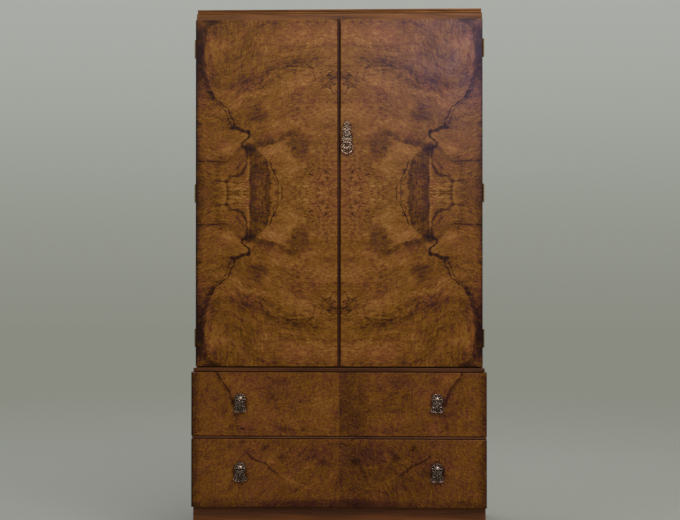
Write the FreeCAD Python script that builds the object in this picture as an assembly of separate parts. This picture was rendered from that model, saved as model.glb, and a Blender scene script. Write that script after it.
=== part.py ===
import FreeCAD, Part
import math
import os
from collections import namedtuple

# A tallboy in walnut: a cupboard with two overlay doors stands on a chest of two overlay drawers.
# Sizes are in millimetres. X runs to the right, Y to the back and Z up. While the pieces are made,
# Y starts at the drawer faces; each piece is then moved so that the origin lies on the floor under
# the middle of the whole tallboy, pulls included.

Vector = FreeCAD.Vector

# Outline of the two carcasses
lower_width = 762.0
upper_inset = 10.0
waist_inset = 5.5
plinth_inset = 2.0
slab_inset = 2.0
body_depth = 450.0
board_thickness = 16.0
back_thickness = 5.0

# Heights, from the floor up
plinth_height = 80.0
lower_front_height = 176.0
upper_front_height = 164.0
waist_thickness = 10.0
door_height = 898.0
frieze_height = 18.0
reed_height = 6.0
reed_count = 2

# Steps of the front, from the drawer faces back
drawer_front_thickness = 20.0
door_setback = 10.0
trim_setback = 2.5
door_thickness = 19.0
plinth_setback = 3.0

# Gaps that show as lines between the fronts
plinth_gap = 1.0
front_gap = 8.0
strip_gap = 1.8
strip_inset = 1.2
waist_gap = 1.5
door_foot_gap = 3.0
closing_gap = 0.6
meeting_gap = 2.0
meeting_offset = 4.0

# Rounded edges
front_edge_radius = 1.5
waist_edge_radius = 2.0
strip_edge_radius = 1.0
reed_edge_radius = 2.6

# Bead on the meeting edge of the left door
bead_width = 6.0
bead_proud = 1.5

# Plinth
plinth_board = 18.0
block_leg = 26.0
block_margin = 8.0
plinth_back_margin = 4.0

# Rails and runners inside the chest
rail_thickness = 19.0
top_rail_thickness = 16.0
rail_depth = 60.0
runner_width = 20.0
floor_runner_height = 6.0

# Drawer boxes
box_length = 400.0
box_side_thickness = 10.0
box_side_play = 1.5
box_headroom = 4.0
running_gap = 0.3
side_housing = 8.0
box_bottom_thickness = 5.0
box_bottom_rise = 8.0
box_groove = 4.0
box_back_drop = 6.0

# Shelves
shelf_names = ("lower_shelf", "upper_shelf")
shelf_thickness = 15.0
shelf_side_play = 1.0
shelf_front_setback = 26.0
shelf_back_gap = 4.0
bearer_width = 12.0
bearer_height = 18.0
bearer_setback = 8.0

# Butt hinges, three to a door
hinge_height = 45.0
knuckle_count = 3
hinge_end_distance = 73.0
barrel_radius = 2.5
barrel_gap = 0.3
knuckle_gap = 0.2
hinge_pin_radius = 1.2
pin_play = 0.05
pin_tip_height = 1.6
pin_tip_radius = 1.2
leaf_width = 14.0
leaf_thickness = 1.4
leaf_face_gap = 0.05

# Countersunk screws
screw_head_radius = 2.6
screw_shank_radius = 1.4
screw_head_depth = 1.3
screw_length = 11.0
screw_play = 0.05
screw_slot_width = 0.8
screw_slot_depth = 0.5
leaf_screw_spacing = 15.0

# Cupboard lock in the right door, and its strike in the left one
keyhole_height = 607.0
lock_backset = 16.5
lock_width = 38.0
lock_height = 60.0
lock_depth = 11.0
selvedge_thickness = 2.0
lock_bolt_thickness = 6.0
lock_bolt_height = 16.0
lock_bolt_length = 26.0
lock_bolt_throw = 8.0
lock_bolt_play = 0.3
lock_screw_margin = 5.0
strike_thickness = 1.2
strike_width = 12.0
strike_height = 46.0
mortise_play = 0.5

# Keyhole shape
keyhole_radius = 1.7
keyhole_slot_width = 1.9
keyhole_slot_drop = 6.0

# Slide bolts on the back of the left door
bolt_inset = 22.0
bolt_standoff = 8.0
bolt_radius = 3.0
bolt_play = 0.3
bolt_throw = 12.0
bolt_rest_gap = 1.5
bolt_case_width = 14.0
bolt_case_height = 62.0
bolt_case_plate = 1.6
bolt_case_gap = 6.0
staple_height = 10.0
bolt_screw_gap = 1.0
bolt_tail = 3.0
bolt_knob_radius = 2.2
bolt_knob_length = 7.0
keeper_length = 26.0
keeper_width = 14.0
keeper_thickness = 1.2

# Pulls: a pierced plate, a post with two ears and a pendant on the pin between them
plate_thickness = 2.0
pivot_reach = 6.5
ear_radius = 3.2
ear_thickness = 2.8
ear_base_radius = 5.2
ear_base_thickness = 1.2
ear_neck_width = 5.2
pull_pin_radius = 1.0
eye_radius = 2.9
eye_width = 3.6
eye_side_play = 0.2
eye_neck_drop = 5.2
pendant_thickness = 2.4
stem_radius = 2.3
nut_radius = 4.6
nut_thickness = 3.2
nut_sides = 6
door_stem_length = 6.0

# Drawer pulls
pull_inset = 127.0
pull_rise = 13.0
rosette_radius = 15.0
rosette_hole_radius = 2.7
rosette_hole_ring = 9.8
rosette_hole_count = 8
bell_neck_drop = 4.0
bell_drop = 34.5
bell_half_width = 18.5
bell_shoulder_half_width = 6.0
bell_shoulder_drop = 8.5
bell_shoulder_bulge = 4.6
bell_shoulder_bulge_drop = 5.2
bell_flank_hollow = 0.6
bell_corner_width = 1.2
bell_corner_rises = (8.0, 5.6, 3.2)

# Door pull
door_pull_drop = 11.6
heart_radius = 9.0
scroll_radius = 7.0
scroll_offset = 5.4
scroll_rise = 19.0
scroll_hole_radius = 2.2
scroll_hole_offset = 7.4
scroll_hole_rise = 20.0
foot_hole_radius = 1.1
wing_radius = 5.2
wing_offset = 8.8
wing_drop = 4.8
wing_hole_radius = 2.2
finial_rise = 31.5
finial_half_width = 7.0
finial_hole_radius = 2.3
finial_neck_radius = 3.5
ring_radius = 16.0
ring_drop = 30.5
ring_rim = 3.2
ring_spoke_width = 2.2
ring_spoke_count = 3
ring_boss_radius = 3.6
collar_radius = 10.2
collar_drop = 14.0
lobe_radius = 3.8
lobe_hole_radius = 1.6
lobe_offset = 9.2
lobe_drop = 11.0

# Heights worked out from the sizes above
lower_front_bottom = plinth_height + plinth_gap
lower_front_top = lower_front_bottom + lower_front_height
upper_front_bottom = lower_front_top + front_gap
upper_front_top = upper_front_bottom + upper_front_height
waist_bottom = upper_front_top + waist_gap
waist_top = waist_bottom + waist_thickness
door_bottom = waist_top + door_foot_gap
door_top = door_bottom + door_height
frieze_top = door_top + frieze_height
slab_top = frieze_top + reed_count * reed_height
rail_middle = (lower_front_top + upper_front_bottom) / 2
rail_bottom = rail_middle - rail_thickness / 2
rail_top = rail_middle + rail_thickness / 2
top_rail_bottom = waist_bottom - top_rail_thickness
chest_floor = plinth_height + board_thickness
floor_runner_top = chest_floor + floor_runner_height
cupboard_floor = waist_top + board_thickness
cupboard_ceiling = door_top - board_thickness
keyhole_level = door_bottom + keyhole_height
door_pull_level = keyhole_level - door_pull_drop

# Widths, measured from the middle
lower_half = lower_width / 2
upper_half = lower_half - upper_inset
waist_half = lower_half - waist_inset
plinth_half = lower_half - plinth_inset
chest_half = lower_half - board_thickness
cupboard_half = upper_half - board_thickness
box_half = chest_half - box_side_play
left_edge = meeting_offset - meeting_gap / 2
right_edge = meeting_offset + meeting_gap / 2
bead_edge = left_edge - bead_width
lock_x = right_edge + lock_backset
bolt_x = bead_edge - bolt_inset

# Depths, measured from the drawer faces
chest_front = drawer_front_thickness
trim_face = trim_setback
plinth_front_face = chest_front + plinth_setback
plinth_back_face = body_depth - plinth_back_margin
door_face = door_setback
door_back = door_face + door_thickness
cupboard_front = door_back + closing_gap
back_face = body_depth - back_thickness
hinge_x = upper_half + barrel_gap + barrel_radius
hinge_y = door_back + closing_gap / 2
lock_bolt_y = door_back - lock_depth / 2
bolt_y = door_back + bolt_standoff
pull_reach = pivot_reach + ear_radius
depth_middle = (body_depth - pull_reach) / 2

hinge_levels = (
    door_bottom + hinge_end_distance,
    (door_bottom + door_top) / 2,
    door_top - hinge_end_distance,
)

Drawer = namedtuple("Drawer", "name front_bottom front_height runner_top ceiling")
lower_drawer = Drawer("lower_drawer", lower_front_bottom, lower_front_height, floor_runner_top, rail_bottom)
upper_drawer = Drawer("upper_drawer", upper_front_bottom, upper_front_height, rail_top, top_rail_bottom)

Screw = namedtuple("Screw", "point direction")

# Holes through one half of a drawer pendant, from its middle outwards and its foot up
Piercing = namedtuple("Piercing", "radius offset rise")
bell_piercings = (
    Piercing(radius=2.0, offset=3.8, rise=6.2),
    Piercing(radius=2.6, offset=9.4, rise=8.8),
    Piercing(radius=1.5, offset=14.4, rise=7.0),
    Piercing(radius=1.3, offset=4.9, rise=15.5),
)


def block(x0, x1, y0, y1, z0, z1):
    """A box from its low corner to its high corner."""
    return Part.makeBox(x1 - x0, y1 - y0, z1 - z0, Vector(x0, y0, z0))


def rod(radius, start, direction, length):
    """A cylinder from a start point along a direction."""
    return Part.makeCylinder(radius, length, start, direction)


def fused(shapes):
    """One solid from several that touch or overlap."""
    return shapes[0].multiFuse(shapes[1:]).removeSplitter()


def mirrored(shape):
    """The same piece on the other side of the middle."""
    return shape.mirror(Vector(0, 0, 0), Vector(1, 0, 0))


def edges_at(shape, test):
    """The straight edges whose two ends both pass the test."""
    return [edge for edge in shape.Edges if all(test(vertex.Point) for vertex in edge.Vertexes)]


def near(value, level):
    """True where a coordinate lies at a level."""
    return abs(value - level) < 1e-6


def rounded_face(shape, y, radius):
    """Rounds the edges of a board's front face."""
    return shape.makeFillet(radius, edges_at(shape, lambda point: near(point.y, y)))


def save(name, *shapes):
    """Writes one piece, or a group of like pieces, with the origin moved under the middle."""
    shape = shapes[0] if len(shapes) == 1 else Part.makeCompound(list(shapes))
    shape = shape.copy()
    shape.translate(Vector(0, -depth_middle, 0))
    shape.exportStep(os.path.join("parts", name + ".step"))
    print(name, len(shape.Solids), round(shape.Volume), shape.isValid())


def screw(place):
    """A slotted countersunk screw with its head flush at the given point."""
    point, direction = place
    head = Part.makeCone(screw_head_radius, screw_shank_radius, screw_head_depth, point, direction)
    shank_start = point + direction * screw_head_depth
    shank = rod(screw_shank_radius, shank_start, direction, screw_length - screw_head_depth)
    slot = Part.makeBox(2 * screw_head_radius, 2 * screw_slot_depth, screw_slot_width)
    slot.translate(point - Vector(screw_head_radius, screw_slot_depth, screw_slot_width / 2))
    return fused([head, shank]).cut(slot)


def screw_pocket(place):
    """The countersunk hole that a screw sits in."""
    point, direction = place
    head_radius = screw_head_radius + screw_play
    shank_radius = screw_shank_radius + screw_play
    head = Part.makeCone(head_radius, shank_radius, screw_head_depth, point, direction)
    return fused([head, rod(shank_radius, point, direction, screw_length + screw_play)])


# Plinth

def plinth_front():
    """Front board of the plinth, running full width."""
    face = plinth_front_face
    board = block(-plinth_half, plinth_half, face, face + plinth_board, 0, plinth_height)
    return rounded_face(board, face, front_edge_radius)


def plinth_side():
    """Left side board of the plinth, behind the front one."""
    start = plinth_front_face + plinth_board
    return block(-plinth_half, -plinth_half + plinth_board, start, plinth_back_face, 0, plinth_height)


def plinth_back():
    """Back board of the plinth, between its sides."""
    half = plinth_half - plinth_board
    return block(-half, half, plinth_back_face - plinth_board, plinth_back_face, 0, plinth_height)


def corner_block(y, leg_y):
    """Three-cornered glue block in a left corner of the plinth."""
    x = -plinth_half + plinth_board
    corners = [Vector(x, y, block_margin)]
    corners.append(Vector(x + block_leg, y, block_margin))
    corners.append(Vector(x, y + leg_y, block_margin))
    face = Part.Face(Part.makePolygon(corners + corners[:1]))
    return face.extrude(Vector(0, 0, plinth_height - block_margin))


def plinth_blocks():
    """The glue blocks in the four corners of the plinth."""
    front = corner_block(plinth_front_face + plinth_board, block_leg)
    back = corner_block(plinth_back_face - plinth_board, -block_leg)
    return [front, back, mirrored(front), mirrored(back)]


# Chest under the cupboard

def lower_side():
    """Left side of the chest."""
    return block(-lower_half, -chest_half, chest_front, body_depth, plinth_height, waist_bottom)


def lower_bottom():
    """Floor board of the chest."""
    return block(-chest_half, chest_half, chest_front, back_face, plinth_height, chest_floor)


def lower_back():
    """Back panel of the chest, between its sides."""
    return block(-chest_half, chest_half, back_face, body_depth, plinth_height, waist_bottom)


def front_rail(bottom, top):
    """A rail across the front of the chest."""
    return block(-chest_half, chest_half, chest_front, chest_front + rail_depth, bottom, top)


def divider_rail():
    """Rail between the two drawers, and the strip on its front that fills the gap between their fronts."""
    half = lower_half - strip_inset
    bottom = lower_front_top + strip_gap
    top = upper_front_bottom - strip_gap
    strip = block(-half, half, trim_face, chest_front, bottom, top)
    shown = edges_at(strip, lambda point: near(point.y, trim_face))
    long_edges = [edge for edge in shown if edge.Length > half]
    strip = strip.makeFillet(strip_edge_radius, long_edges)
    return [front_rail(rail_bottom, rail_top), strip]


def lower_top_rail():
    """Rail over the upper drawer, under the waist board."""
    return front_rail(top_rail_bottom, waist_bottom)


def drawer_runners():
    """Strips that the drawer sides run on: two on the floor and two behind the divider rail."""
    inner = -chest_half + runner_width
    low = block(-chest_half, inner, chest_front, back_face, chest_floor, floor_runner_top)
    high = block(-chest_half, inner, chest_front + rail_depth, back_face, rail_bottom, rail_top)
    return [low, high, mirrored(low), mirrored(high)]


def drawer_kickers():
    """Strips over the upper drawer's sides, which keep it level as it is pulled out."""
    start = chest_front + rail_depth
    kicker = block(-chest_half, -chest_half + runner_width, start, back_face, top_rail_bottom, waist_bottom)
    return [kicker, mirrored(kicker)]


def waist_board():
    """Board between the chest and the cupboard, with its front and side edges eased."""
    board = block(-waist_half, waist_half, trim_face, body_depth, waist_bottom, waist_top)

    def on_show(point):
        return near(point.y, trim_face)

    def on_side(point):
        return near(abs(point.x), waist_half)

    def level_edge(edge):
        return near(edge.Vertexes[0].Z, edge.Vertexes[-1].Z)

    shown = [edge for edge in edges_at(board, on_show) + edges_at(board, on_side) if level_edge(edge)]
    return board.makeFillet(waist_edge_radius, shown)


# Cupboard

def upper_side():
    """Left side of the cupboard, before its hinge seats are cut."""
    return block(-upper_half, -cupboard_half, cupboard_front, body_depth, waist_top, door_top)


def cupboard_board(bottom, top):
    """A board that runs between the cupboard sides, from its front to its back panel."""
    return block(-cupboard_half, cupboard_half, cupboard_front, back_face, bottom, top)


def upper_back():
    """Back panel of the cupboard, between its sides."""
    return block(-cupboard_half, cupboard_half, back_face, body_depth, waist_top, door_top)


def frieze_board():
    """Board over the doors, across the tops of the cupboard sides."""
    board = block(-upper_half, upper_half, cupboard_front, body_depth, door_top, frieze_top)
    return rounded_face(board, cupboard_front, front_edge_radius)


def reed(index):
    """One layer of the top slab, with a rounded edge on its front and sides."""
    half = upper_half - slab_inset
    bottom = frieze_top + index * reed_height
    layer = block(-half, half, cupboard_front + slab_inset, body_depth, bottom, bottom + reed_height)

    def level_edge(edge):
        ends = [vertex.Point for vertex in edge.Vertexes]
        at_front = all(near(end.y, cupboard_front + slab_inset) for end in ends)
        at_side = near(abs(ends[0].x), half) and near(ends[0].x, ends[1].x)
        return near(ends[0].z, ends[1].z) and (at_front or at_side)

    return layer.makeFillet(reed_edge_radius, [edge for edge in layer.Edges if level_edge(edge)])


def top_slab():
    """The reeded slab on the very top."""
    return fused([reed(index) for index in range(reed_count)])


def shelf_level(index):
    """Height of a shelf's top, with the cupboard shared out evenly."""
    space = (cupboard_ceiling - cupboard_floor) / (len(shelf_names) + 1)
    return cupboard_floor + (index + 1) * space


def shelf(index):
    """One loose shelf."""
    half = cupboard_half - shelf_side_play
    top = shelf_level(index)
    front = cupboard_front + shelf_front_setback
    board = block(-half, half, front, back_face - shelf_back_gap, top - shelf_thickness, top)
    return rounded_face(board, front, front_edge_radius)


def shelf_bearers():
    """Strips on the cupboard sides that carry the shelves."""
    strips = []
    outer = -cupboard_half
    inner = outer + bearer_width
    front = cupboard_front + shelf_front_setback + bearer_setback
    for index in range(len(shelf_names)):
        top = shelf_level(index) - shelf_thickness
        strip = block(outer, inner, front, back_face, top - bearer_height, top)
        strips += [strip, mirrored(strip)]
    return strips


# Hinges, made for the left door and mirrored for the right one

def knuckle(bottom, top):
    """One knuckle of a left hinge, with its pin hole still to be cut."""
    return rod(barrel_radius, Vector(-hinge_x, hinge_y, bottom), Vector(0, 0, 1), top - bottom)


def knuckle_spans(level):
    """Bottom and top of each knuckle of a hinge, from the lowest up."""
    share = hinge_height / knuckle_count
    start = level - hinge_height / 2
    half_gap = knuckle_gap / 2
    bottoms = [start + index * share for index in range(knuckle_count)]
    return [(bottom + half_gap, bottom + share - half_gap) for bottom in bottoms]


def leaf(level, near_y, far_y, spans):
    """A hinge leaf whose plate lies between two depths, with knuckles over the given spans."""
    low = level - hinge_height / 2
    plate = block(-upper_half, -upper_half + leaf_width, near_y, far_y, low, low + hinge_height)
    pieces = [plate]
    for bottom, top in spans:
        pieces.append(knuckle(bottom, top))
        pieces.append(block(-hinge_x, -upper_half, near_y, far_y, bottom, top))
    hole = rod(hinge_pin_radius + pin_play, Vector(-hinge_x, hinge_y, low), Vector(0, 0, 1), hinge_height)
    return fused(pieces).cut(hole)


def carcass_leaf(level):
    """Leaf on the cupboard side, with the outer two knuckles."""
    start = hinge_y + leaf_face_gap
    return leaf(level, start, start + leaf_thickness, knuckle_spans(level)[::2])


def door_leaf(level):
    """Leaf on the door, with the middle knuckle."""
    end = hinge_y - leaf_face_gap
    return leaf(level, end - leaf_thickness, end, knuckle_spans(level)[1::2])


def hinge_pin(level):
    """Pin through the knuckles, with a rounded tip at each end."""
    up = Vector(0, 0, 1)
    foot = Vector(-hinge_x, hinge_y, level - hinge_height / 2)
    head = foot + up * hinge_height
    shaft = rod(hinge_pin_radius, foot, up, hinge_height)
    top_tip = Part.makeCone(barrel_radius, pin_tip_radius, pin_tip_height, head, up)
    low_tip = Part.makeCone(barrel_radius, pin_tip_radius, pin_tip_height, foot, -up)
    return fused([shaft, top_tip, low_tip])


def leaf_seat(level, start, end):
    """The shallow seat that a leaf lies in."""
    low = level - hinge_height / 2
    return block(-upper_half, -upper_half + leaf_width, start, end, low, low + hinge_height)


def leaf_screws(face_y, inward):
    """Places of the screws through the left leaves, driven in along Y."""
    x = -upper_half + leaf_width / 2
    heights = [level + step * leaf_screw_spacing for level in hinge_levels for step in (-1, 0, 1)]
    return [Screw(Vector(x, face_y, height), Vector(0, inward, 0)) for height in heights]


carcass_leaf_screws = leaf_screws(hinge_y + leaf_face_gap, 1)
door_leaf_screws = leaf_screws(hinge_y - leaf_face_gap, -1)


# Cupboard lock

def keyhole_shape(start_y, end_y):
    """The keyhole as a solid to be cut away: a round hole with a slot below it."""
    top = keyhole_level
    half = keyhole_slot_width / 2
    hole = rod(keyhole_radius, Vector(lock_x, start_y, top), Vector(0, 1, 0), end_y - start_y)
    slot = block(lock_x - half, lock_x + half, start_y, end_y, top - keyhole_slot_drop, top)
    return fused([hole, slot])


def lock_bar(x0, x1, thickness, height):
    """A bar along the line of the lock's bolt, between two places across the front."""
    half_y = thickness / 2
    half_z = height / 2
    y = lock_bolt_y
    z = keyhole_level
    return block(x0, x1, y - half_y, y + half_y, z - half_z, z + half_z)


def lock_outline():
    """The space that the lock fills in the right door, level with its edge and its back."""
    return lock_bar(right_edge, right_edge + lock_width, lock_depth, lock_height)


def lock_bolt():
    """The bolt of the lock, drawn back."""
    end = right_edge + lock_bolt_length
    return lock_bar(right_edge, end, lock_bolt_thickness, lock_bolt_height)


def lock_channel():
    """The space in the lock that its bolt slides in."""
    end = right_edge + lock_bolt_length + lock_bolt_play
    grow = 2 * lock_bolt_play
    return lock_bar(right_edge, end, lock_bolt_thickness + grow, lock_bolt_height + grow)


def lock_screws():
    """Places of the screws at the corners of the lock."""
    places = []
    near_x = right_edge + selvedge_thickness + lock_screw_margin
    far_x = right_edge + lock_width - lock_screw_margin
    for x in (near_x, far_x):
        for side in (-1, 1):
            z = keyhole_level + side * (lock_height / 2 - lock_screw_margin)
            places.append(Screw(Vector(x, door_back, z), Vector(0, -1, 0)))
    return places


def lock_case():
    """The lock's body, open for its bolt and its key."""
    keyhole = keyhole_shape(door_back - lock_depth, lock_bolt_y)
    pockets = [screw_pocket(place) for place in lock_screws()]
    return lock_outline().cut([lock_channel(), keyhole] + pockets)


def strike_outline():
    """The space of the strike plate in the left door's meeting edge."""
    return lock_bar(left_edge - strike_thickness, left_edge, strike_width, strike_height)


def lock_mortise():
    """The socket that the lock's bolt enters, through the strike and the bead."""
    depth = lock_bolt_throw - meeting_gap + mortise_play
    grow = 2 * mortise_play
    return lock_bar(left_edge - depth, left_edge, lock_bolt_thickness + grow, lock_bolt_height + grow)


def lock_strike():
    """Plate that the bolt passes through."""
    return strike_outline().cut(lock_mortise())


# Slide bolts on the left door. Each is thrown up (1) or down (-1) into a board of the cupboard.

def bolt_stop_level(way):
    """Level of the board that a slide bolt is thrown into."""
    return cupboard_ceiling if way > 0 else cupboard_floor


def bolt_case_span(way):
    """Bottom and top of a bolt's case."""
    near_end = bolt_stop_level(way) - way * bolt_case_gap
    far_end = near_end - way * bolt_case_height
    return min(near_end, far_end), max(near_end, far_end)


def bolt_case_screws(way):
    """Places of the two screws in the plate of a bolt's case, between its staples."""
    low, high = bolt_case_span(way)
    face = door_back + bolt_case_plate
    margin = staple_height + screw_head_radius + bolt_screw_gap
    return [Screw(Vector(bolt_x, face, z), Vector(0, -1, 0)) for z in (low + margin, high - margin)]


def bolt_case(way):
    """Back plate with two staples that guide the rod."""
    low, high = bolt_case_span(way)
    half = bolt_case_width / 2
    outer = bolt_y + bolt_radius + bolt_play + bolt_case_plate
    plate = block(bolt_x - half, bolt_x + half, door_back, door_back + bolt_case_plate, low, high)
    lower_staple = block(bolt_x - half, bolt_x + half, door_back, outer, low, low + staple_height)
    upper_staple = block(bolt_x - half, bolt_x + half, door_back, outer, high - staple_height, high)
    bore = rod(bolt_radius + bolt_play, Vector(bolt_x, bolt_y, low), Vector(0, 0, 1), high - low)
    pockets = [screw_pocket(place) for place in bolt_case_screws(way)]
    return fused([plate, lower_staple, upper_staple]).cut([bore] + pockets)


def slide_bolt(way):
    """Rod of a slide bolt, drawn back, with its finger knob between the staples."""
    low, high = bolt_case_span(way)
    tip = bolt_stop_level(way) - way * bolt_rest_gap
    tail = (low - bolt_tail) if way > 0 else (high + bolt_tail)
    shaft = rod(bolt_radius, Vector(bolt_x, bolt_y, tail), Vector(0, 0, way), abs(tip - tail))
    knob_start = Vector(bolt_x, bolt_y, (low + high) / 2 - way * bolt_throw / 2)
    knob = rod(bolt_knob_radius, knob_start, Vector(0, 1, 0), bolt_radius + bolt_knob_length)
    return fused([shaft, knob])


def bolt_socket(way):
    """The hole that a slide bolt enters."""
    start = Vector(bolt_x, bolt_y, bolt_stop_level(way))
    depth = bolt_throw - bolt_rest_gap + bolt_play
    return rod(bolt_radius + bolt_play, start, Vector(0, 0, way), depth)


def keeper_seat(way):
    """The space of the plate that lines a slide bolt's hole."""
    level = bolt_stop_level(way)
    bottom, top = sorted((level, level + way * keeper_thickness))
    x0 = bolt_x - keeper_length / 2
    x1 = bolt_x + keeper_length / 2
    return block(x0, x1, cupboard_front, cupboard_front + keeper_width, bottom, top)


def bolt_keeper(way):
    """Plate that lines a slide bolt's hole."""
    return keeper_seat(way).cut(bolt_socket(way))


# Pulls, made with the hub at X = Z = 0 and the face of the wood at Y = 0

def front_disc(radius, x, z):
    """A disc as thick as a pull's plate, lying on the wood."""
    return rod(radius, Vector(x, -plate_thickness, z), Vector(0, 1, 0), plate_thickness)


def rosette_plate():
    """Round pierced plate of a drawer pull."""
    holes = [front_disc(stem_radius + screw_play, 0, 0)]
    for index in range(rosette_hole_count):
        angle = 2 * math.pi * (index + 0.5) / rosette_hole_count
        x = rosette_hole_ring * math.cos(angle)
        z = rosette_hole_ring * math.sin(angle)
        holes.append(front_disc(rosette_hole_radius, x, z))
    return front_disc(rosette_radius, 0, 0).cut(holes)


def finial():
    """Pierced diamond at the top of the door pull's plate."""
    half = finial_half_width
    corners = [(-half, finial_rise), (0, finial_rise + half), (half, finial_rise), (0, finial_rise - half)]
    points = [Vector(x, -plate_thickness, z) for x, z in corners]
    face = Part.Face(Part.makePolygon(points + points[:1]))
    diamond = face.extrude(Vector(0, plate_thickness, 0))
    return diamond.cut(front_disc(finial_hole_radius, 0, finial_rise))


def door_plate():
    """Pierced plate of the door pull: finial, two scrolls, keyhole, and two wings at the hub."""
    pieces = [finial(), front_disc(finial_neck_radius, 0, finial_rise - finial_half_width)]
    pieces += [front_disc(heart_radius, 0, z) for z in (0, door_pull_drop)]
    holes = [front_disc(stem_radius + screw_play, 0, 0)]
    for side in (-1, 1):
        pieces.append(front_disc(scroll_radius, side * scroll_offset, scroll_rise))
        holes.append(front_disc(scroll_hole_radius, side * scroll_hole_offset, scroll_hole_rise))
        holes.append(front_disc(foot_hole_radius, side * scroll_offset, scroll_rise - scroll_radius))
        pieces.append(front_disc(wing_radius, side * wing_offset, -wing_drop))
        holes.append(front_disc(wing_hole_radius, side * wing_offset, -wing_drop))
    keyhole = keyhole_shape(-plate_thickness, 0)
    keyhole.translate(Vector(-lock_x, 0, -door_pull_level))
    return fused(pieces).cut(holes + [keyhole])


def pull_post(stem_length):
    """Post with two ears, the pin between them and the stem that enters the wood."""
    base_start = -plate_thickness - ear_base_thickness
    base = rod(ear_base_radius, Vector(0, base_start, 0), Vector(0, 1, 0), ear_base_thickness)
    stem = rod(stem_radius, Vector(0, base_start, 0), Vector(0, 1, 0), -base_start + stem_length)
    inner = eye_width / 2 + eye_side_play
    outer = inner + ear_thickness
    pin = rod(pull_pin_radius, Vector(-outer, -pivot_reach, 0), Vector(1, 0, 0), 2 * outer)
    pieces = [base, stem, pin]
    half = ear_neck_width / 2
    for start in (-outer, inner):
        end = start + ear_thickness
        pieces.append(rod(ear_radius, Vector(start, -pivot_reach, 0), Vector(1, 0, 0), ear_thickness))
        pieces.append(block(start, end, -pivot_reach, base_start, -half, half))
    return fused(pieces)


def pull_nut(wood_thickness):
    """Nut on the stem, behind the wood."""
    corners = []
    for index in range(nut_sides):
        angle = 2 * math.pi * index / nut_sides
        corners.append(Vector(nut_radius * math.cos(angle), wood_thickness, nut_radius * math.sin(angle)))
    nut = Part.Face(Part.makePolygon(corners + corners[:1])).extrude(Vector(0, nut_thickness, 0))
    hole = rod(stem_radius + screw_play, Vector(0, wood_thickness, 0), Vector(0, 1, 0), nut_thickness)
    return nut.cut(hole)


def pendant_eye():
    """Eye at the top of a pendant, and the neck below it."""
    half = eye_width / 2
    eye = rod(eye_radius, Vector(-half, -pivot_reach, 0), Vector(1, 0, 0), eye_width)
    start = -pivot_reach - pendant_thickness / 2
    neck = block(-half, half, start, start + pendant_thickness, -eye_neck_drop, 0)
    return [eye, neck]


def pendant_disc(radius, x, z):
    """A disc as thick as a pendant, in its own plane."""
    start = Vector(x, -pivot_reach - pendant_thickness / 2, z)
    return rod(radius, start, Vector(0, 1, 0), pendant_thickness)


def pin_hole():
    """The hole in a pendant's eye."""
    half = eye_width / 2
    return rod(pull_pin_radius + pin_play, Vector(-half, -pivot_reach, 0), Vector(1, 0, 0), eye_width)


def arc(start, middle, end):
    """An arc through three points of a pendant's outline, given as X and Z."""
    y = -pivot_reach - pendant_thickness / 2
    points = [Vector(x, y, z) for x, z in (start, middle, end)]
    return Part.Arc(*points).toShape()


def bell():
    """Outline of a drawer pendant: narrow shoulders, hollow flanks and a bowed foot."""
    top = -bell_neck_drop
    half = eye_width / 2
    corner_x = bell_half_width - bell_corner_width
    corner_z, tip_z, foot_z = [rise - bell_drop for rise in bell_corner_rises]
    shoulder = (bell_shoulder_half_width, -bell_shoulder_drop)
    corner = (corner_x, corner_z)
    foot = (corner_x, foot_z)
    flank = (bell_half_width / 2 - bell_flank_hollow, -bell_drop / 2)

    def flipped(point):
        return (-point[0], point[1])

    right = [
        ((half, top), (bell_shoulder_bulge, -bell_shoulder_bulge_drop), shoulder),
        (shoulder, flank, corner),
        (corner, (bell_half_width, tip_z), foot),
    ]
    edges = [arc(*points) for points in right]
    edges.append(arc(foot, (0, -bell_drop), flipped(foot)))
    for start, middle, end in reversed(right):
        edges.append(arc(flipped(end), flipped(middle), flipped(start)))
    y = -pivot_reach - pendant_thickness / 2
    edges.append(Part.LineSegment(Vector(-half, y, top), Vector(half, y, top)).toShape())
    return Part.Face(Part.Wire(edges)).extrude(Vector(0, pendant_thickness, 0))


def drawer_pendant():
    """Bell-shaped pierced pendant of a drawer pull."""
    holes = [pin_hole()]
    for piercing in bell_piercings:
        for side in (-1, 1):
            z = piercing.rise - bell_drop
            holes.append(pendant_disc(piercing.radius, side * piercing.offset, z))
    return fused([bell()] + pendant_eye()).cut(holes)


def ring_pendant():
    """Round pierced pendant of the door pull, hung from a collar with a lobe on each side."""
    inner = ring_radius - ring_rim
    front = -pivot_reach - pendant_thickness / 2
    half = ring_spoke_width / 2
    ring = pendant_disc(ring_radius, 0, -ring_drop).cut(pendant_disc(inner, 0, -ring_drop))
    collar = pendant_disc(collar_radius, 0, -collar_drop)
    boss = pendant_disc(ring_boss_radius, 0, -ring_drop)
    pieces = [ring, collar, boss]
    for index in range(ring_spoke_count):
        spoke = block(-inner, inner, front, front + pendant_thickness, -half, half)
        spoke.rotate(Vector(0, 0, 0), Vector(0, 1, 0), 180 * index / ring_spoke_count)
        spoke.translate(Vector(0, 0, -ring_drop))
        pieces.append(spoke)
    holes = [pin_hole()]
    for side in (-1, 1):
        pieces.append(pendant_disc(lobe_radius, side * lobe_offset, -lobe_drop))
        holes.append(pendant_disc(lobe_hole_radius, side * lobe_offset, -lobe_drop))
    return fused(pieces + pendant_eye()).cut(holes)


# Drawers

def drawer_levels(drawer):
    """Bottom and top of a drawer's sides."""
    return drawer.runner_top + running_gap, drawer.ceiling - box_headroom


def pull_places(drawer):
    """X and Z of a drawer's two pull hubs, left first."""
    x = lower_half - pull_inset
    z = drawer.front_bottom + drawer.front_height / 2 + pull_rise
    return [(-x, z), (x, z)]


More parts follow.
